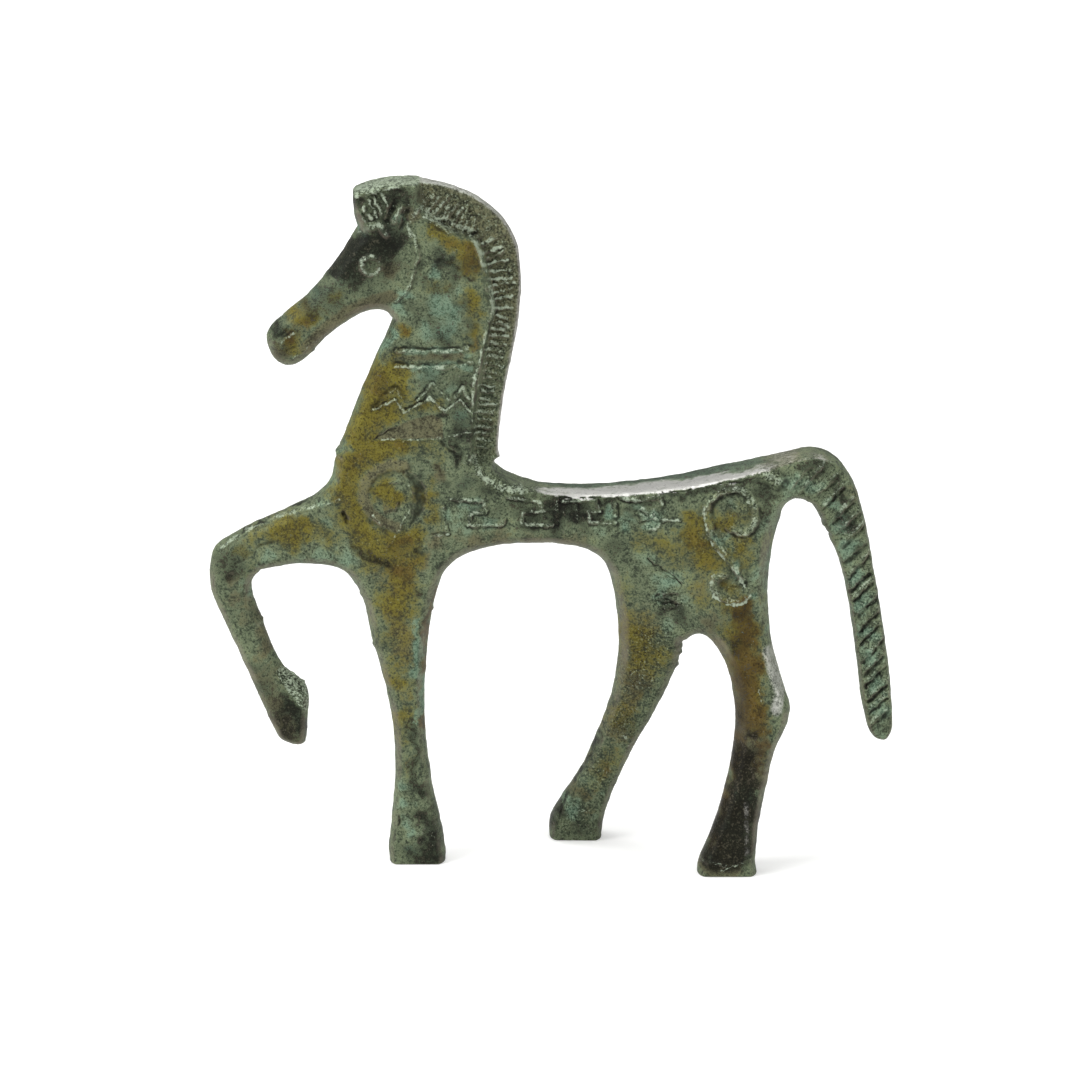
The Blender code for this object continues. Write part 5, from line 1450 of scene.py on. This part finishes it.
class Tone:
    """A number that changes over the surface, for use in plain arithmetic."""

    def __init__(self, paint, socket):
        self.paint = paint
        self.socket = socket

    def reckon(self, operation, *numbers):
        return self.paint.node("ShaderNodeMath", {"operation": operation}, dict(enumerate(numbers)))

    def __add__(self, other):
        return self.reckon("ADD", self, other)

    def __radd__(self, other):
        return self.reckon("ADD", other, self)

    def __sub__(self, other):
        return self.reckon("SUBTRACT", self, other)

    def __rsub__(self, other):
        return self.reckon("SUBTRACT", other, self)

    def __mul__(self, other):
        return self.reckon("MULTIPLY", self, other)

    def __rmul__(self, other):
        return self.reckon("MULTIPLY", other, self)

    def size(self):
        return self.reckon("ABSOLUTE", self)

    def held(self):
        return self.paint.node("ShaderNodeClamp", {}, {0: self, 1: 0.0, 2: 1.0})

    def rise(self, low, high):
        """0 below `low`, 1 above `high` and smooth between."""
        return self.paint.node(
            "ShaderNodeMapRange",
            {"interpolation_type": "SMOOTHSTEP"},
            {"Value": self, "From Min": low, "From Max": high, "To Min": 0.0, "To Max": 1.0},
        )


class Paint:
    """A finish or a light being mixed: it adds nodes to one tree and links them."""

    def __init__(self, tree, shader):
        self.tree = tree
        self.shader = tree.nodes[shader]

    def put(self, socket, value):
        if isinstance(value, Tone):
            self.tree.links.new(value.socket, socket)
        elif isinstance(value, tuple) and len(value) == 3 and socket.type == "RGBA":
            socket.default_value = (*value, 1.0)
        else:
            socket.default_value = value

    def feed(self, name, value):
        self.put(self.shader.inputs[name], value)

    def node(self, kind, settings, sockets, out=0):
        node = self.tree.nodes.new(kind)
        for name, value in settings.items():
            setattr(node, name, value)
        for name, value in sockets.items():
            self.put(node.inputs[name], value)
        return Tone(self, node.outputs[out])

    def mark(self, name):
        """A share that was written on the mesh."""
        return self.node("ShaderNodeAttribute", {"attribute_name": name}, {}, "Fac")

    def mix(self, share, under, over):
        """One colour laid over another."""
        return self.node("ShaderNodeMix", {"data_type": "RGBA"}, {0: share, 6: under, 7: over}, 2)

    def cloud(self, place, scale, detail, rough=0.5):
        sockets = {"Vector": place, "Scale": scale, "Detail": detail, "Roughness": rough}
        return self.node("ShaderNodeTexNoise", {}, sockets)


def finish(name):
    """A new material and the paint for it."""
    material = bpy.data.materials.new(name)
    material.use_nodes = True
    return material, Paint(material.node_tree, "Principled BSDF")


def patinated_bronze():
    """Green, brown and black skin of an old bronze, with bare metal where it has been rubbed, and painted
    shade, highlights and reflections.
    """
    material, paint = finish("patinated_bronze")
    metres = paint.node("ShaderNodeTexCoord", {}, {}, "Object")
    place = paint.node("ShaderNodeVectorMath", {"operation": "SCALE"}, {0: metres, "Scale": 1000.0})
    blotch = paint.cloud(place, 0.3, 2.0) - 0.5
    mottle = paint.cloud(place, 1.1, 3.0, 0.65) - 0.5
    grain = paint.cloud(place, 3.0, 2.0, 0.75) - 0.5
    fleck = paint.cloud(place, 3.0, 2.0, 0.7)
    crinkle = 1 - (paint.cloud(place, 1.15, 1.0) - 0.5).size().rise(0.0, 0.05)
    soot_and_shade, green, gilt = paint.mark("soot_and_shade"), paint.mark("green"), paint.mark("gilt")
    crest, hollow, bare = paint.mark("crest"), paint.mark("hollow"), paint.mark("bare")
    gritty, pitted, umber = paint.mark("gritty"), paint.mark("pitted"), paint.mark("umber")
    rim, edge = paint.mark("rim"), paint.mark("edge")
    smooth = (umber + gilt).held() * (1 - gritty)

    tone = grain * (2.2 + gritty * 1.2) + mottle * 2.0 + blotch * 0.9
    lit = tone.rise(-0.62, 0.62)
    colour = paint.mix(lit, DEEP_GREEN, VERDIGRIS)
    teal = paint.mix(lit, TEAL, PALE_TEAL)
    teal_share = (green * 0.95 + mottle * 1.2 + grain * 0.5 - 0.1).rise(0.0, 0.9)
    colour = paint.mix(teal_share * 0.92, colour, teal)
    brown = paint.mix(lit, DARK_UMBER, PALE_UMBER)
    umber_share = (umber + edge * 0.06 + mottle * 1.0 + blotch * 0.4).rise(0.1, 0.85)
    colour = paint.mix(umber_share * 0.88, colour, brown)
    gold_tone = grain * 2.2 + mottle * 1.5 + blotch * 0.9
    gold = paint.mix(gold_tone.rise(-0.46, 0.56), BROWN, OLIVE_GOLD)
    gold_share = (gilt * 0.9 + mottle * 1.3 + grain * 0.9 + blotch * 0.6).rise(0.05, 0.95)
    colour = paint.mix(gold_share * 0.94, colour, gold)
    rust_share = (paint.mark("rust") + mottle * 1.0 + grain * 0.5).rise(0.15, 0.95) * 0.8
    rust = paint.mix(tone.rise(-0.5, 0.6), DARK_RUST, RUST_BROWN)
    colour = paint.mix(rust_share, colour, rust)
    # Soot, and painted shade on the far half of the back's top and on the turned side of the far foot
    soot_and_shade_share = (soot_and_shade * 0.98 + mottle * 2.1 + grain * 2.2).rise(0.24, 0.8)
    soot = paint.mix((tone + (grain + mottle) * 0.8).rise(0.1, 0.9), SOOT_AND_SHADE_BLACK, WORN_SOOT)
    colour = paint.mix(soot_and_shade_share * 0.93, colour, soot)
    # Dirt and painted shade in the cuts and beside the raised lines
    colour = paint.mix((hollow + grain * 0.9 + mottle * 0.6).rise(0.1, 0.85) * 0.85, colour, SOOT_AND_SHADE_BLACK)
    colour = paint.mix(crinkle * gritty * 0.5, colour, SOOT_AND_SHADE_BLACK)
    clustered = mottle * 0.35 + blotch * 0.25 + gritty * 0.07 + pitted * 0.12 - smooth * 0.03
    speckled = (0.385 - fleck + clustered).rise(0.0, 0.1)
    colour = paint.mix(speckled * 0.5, colour, SOOT_AND_SHADE_BLACK)
    crevice = paint.cloud(place, 1.7, 3.0, 0.75)
    colour = paint.mix((0.41 - crevice - smooth * 0.03).rise(0.0, 0.12) * 0.5, colour, SOOT_AND_SHADE_BLACK)
    crest_share = (crest + (grain * 2.2 + mottle * 1.6) * crest.rise(0.0, 0.3)).rise(0.15, 1.0)
    colour = paint.mix(crest_share * 0.8, colour, CHALK)
    pale_speck = (fleck + gritty * 0.07 + crest * 0.06 - soot_and_shade * 0.06).rise(0.64, 0.76)
    colour = paint.mix(pale_speck * (0.2 + gritty * 0.5), colour, CHALK)
    # Rubbed bare metal, and the painted reflection on the back, highlight on the mane and sheen on the near
    # shank
    bare_and_highlight_share = (bare + (grain * 0.7 + mottle * 0.7) * bare.rise(0.0, 0.3)).rise(0.1, 0.75)
    colour = paint.mix(bare_and_highlight_share * 0.9, colour, BARE_METAL_AND_HIGHLIGHT)
    # Painted reflection on the rounded edges, which also adds metal below
    colour = paint.mix((rim * 0.42).held(), colour, PAINTED_RIM_REFLECTION)

    paint.feed("Base Color", colour)
    rough = 0.48 + grain * 0.4 - bare_and_highlight_share * 0.15 - soot_and_shade_share * 0.08 + teal_share * 0.12
    paint.feed("Roughness", rough.held())
    metal = 0.1 + bare_and_highlight_share * 0.7 + crest_share * 0.25 - teal_share * 0.1 + rim * 0.3
    paint.feed("Metallic", metal.held())
    paint.feed("Specular IOR Level", 0.1)
    height = grain * (0.8 + gritty * 2.6) + mottle * 0.3 - crinkle * gritty * 0.35
    sockets = {"Strength": 0.6, "Distance": 0.00025, "Height": height}
    paint.feed("Normal", paint.node("ShaderNodeBump", {}, sockets))
    return material


def make_horse():
    """The finished casting."""
    outline = Outline(OUTLINE_STEP)
    shape = casting(outline)
    cut_feet(shape)
    spots = np.array([vert.co for vert in shape.verts])
    low, high = spots.min(axis=0), spots.max(axis=0)
    cad_low, cad_high = (np.array(corner) / MM for corner in cad_box)
    shift = (cad_low + cad_high) / 2 - (low + high) / 2
    shift[2] = -low[2]
    bmesh.ops.translate(shape, verts=shape.verts[:], vec=Vector(shift))
    data = bpy.data.meshes.new("bronze_horse_casting")
    shape.to_mesh(data)
    shape.free()
    finish_surface(data, shift, outline)
    data.shade_smooth()
    data.set_sharp_from_angle(angle=radians(SHARP_CORNER))
    data.materials.append(patinated_bronze())
    horse = bpy.data.objects.new("bronze_horse_casting", data)
    bpy.context.scene.collection.objects.link(horse)
    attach(horse, "root")
    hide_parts("bronze_horse")


def make_floor():
    """A wide white table."""
    data = bpy.data.meshes.new("floor")
    corners = [(x * FLOOR_REACH, z * FLOOR_REACH, 0) for x, z in ((-1, -1), (1, -1), (1, 1), (-1, 1))]
    data.from_pydata(corners, [], [(0, 1, 2, 3)])
    material, paint = finish("white_table")
    paint.feed("Base Color", (0.75, 0.75, 0.74))
    paint.feed("Roughness", 0.9)
    paint.feed("Specular IOR Level", 0.0)
    place = paint.node("ShaderNodeTexCoord", {}, {}, "Object")
    away = paint.node("ShaderNodeVectorMath", {"operation": "LENGTH"}, {0: place}, "Value")
    seen = paint.node("ShaderNodeLightPath", {}, {}, "Is Camera Ray")
    glow = (FLOOR_GLOW + away.rise(0.15, 1.2) * (1 - FLOOR_GLOW)) * seen
    paint.feed("Emission Color", paint.mix(glow, (0.0, 0.0, 0.0), (1.0, 1.0, 1.0)))
    paint.feed("Emission Strength", 1.0)
    data.materials.append(material)
    floor = bpy.data.objects.new("floor", data)
    floor.location.z = -FLOOR_GAP
    bpy.context.scene.collection.objects.link(floor)


def soft_light(name, place, width, power):
    """A square studio lamp with a diffuser, turned towards the horse."""
    lamp = bpy.data.lights.new(name, "AREA")
    lamp.shape = "SQUARE"
    lamp.size = width
    lamp.energy = power
    thing = bpy.data.objects.new(name, lamp)
    thing.location = place
    thing.rotation_mode = "QUATERNION"
    thing.rotation_quaternion = (Vector(LAMP_AIM) - Vector(place)).to_track_quat("-Z", "Y")
    bpy.context.scene.collection.objects.link(thing)


def light_studio():
    """A white room that is brighter overhead, a broad lamp above it and one at each side."""
    world = bpy.data.worlds.new("studio")
    world.use_nodes = True
    paint = Paint(world.node_tree, "Background")
    view = paint.node("ShaderNodeTexCoord", {}, {}, "Generated")
    overhead = paint.node("ShaderNodeSeparateXYZ", {}, {0: view}, 2).rise(0.05, 0.9)
    seen = paint.node("ShaderNodeLightPath", {}, {}, "Is Camera Ray")
    paint.feed("Color", (1.0, 1.0, 1.0))
    paint.feed("Strength", (ROOM_LOW + overhead * (ROOM_TOP - ROOM_LOW)) * (1 - seen) + seen)
    bpy.context.scene.world = world
    for lamp in LAMPS:
        soft_light(*lamp)
    bpy.context.scene.view_settings.view_transform = "Standard"


def place_camera():
    """The view of the near side, from a little above."""
    camera = bpy.data.cameras.new("camera")
    camera.lens = CAMERA_LENS
    camera.sensor_width = 36.0
    camera.clip_start = 0.01
    camera.clip_end = 20.0
    tilt = radians(CAMERA_TILT)
    thing = bpy.data.objects.new("camera", camera)
    thing.location = Vector(CAMERA_AIM) + CAMERA_DISTANCE * Vector((0, -cos(tilt), sin(tilt)))
    thing.rotation_euler = (radians(90.0 - CAMERA_TILT), 0, 0)
    bpy.context.scene.collection.objects.link(thing)
    bpy.context.scene.camera = thing


place_camera()
make_horse()
make_floor()
light_studio()
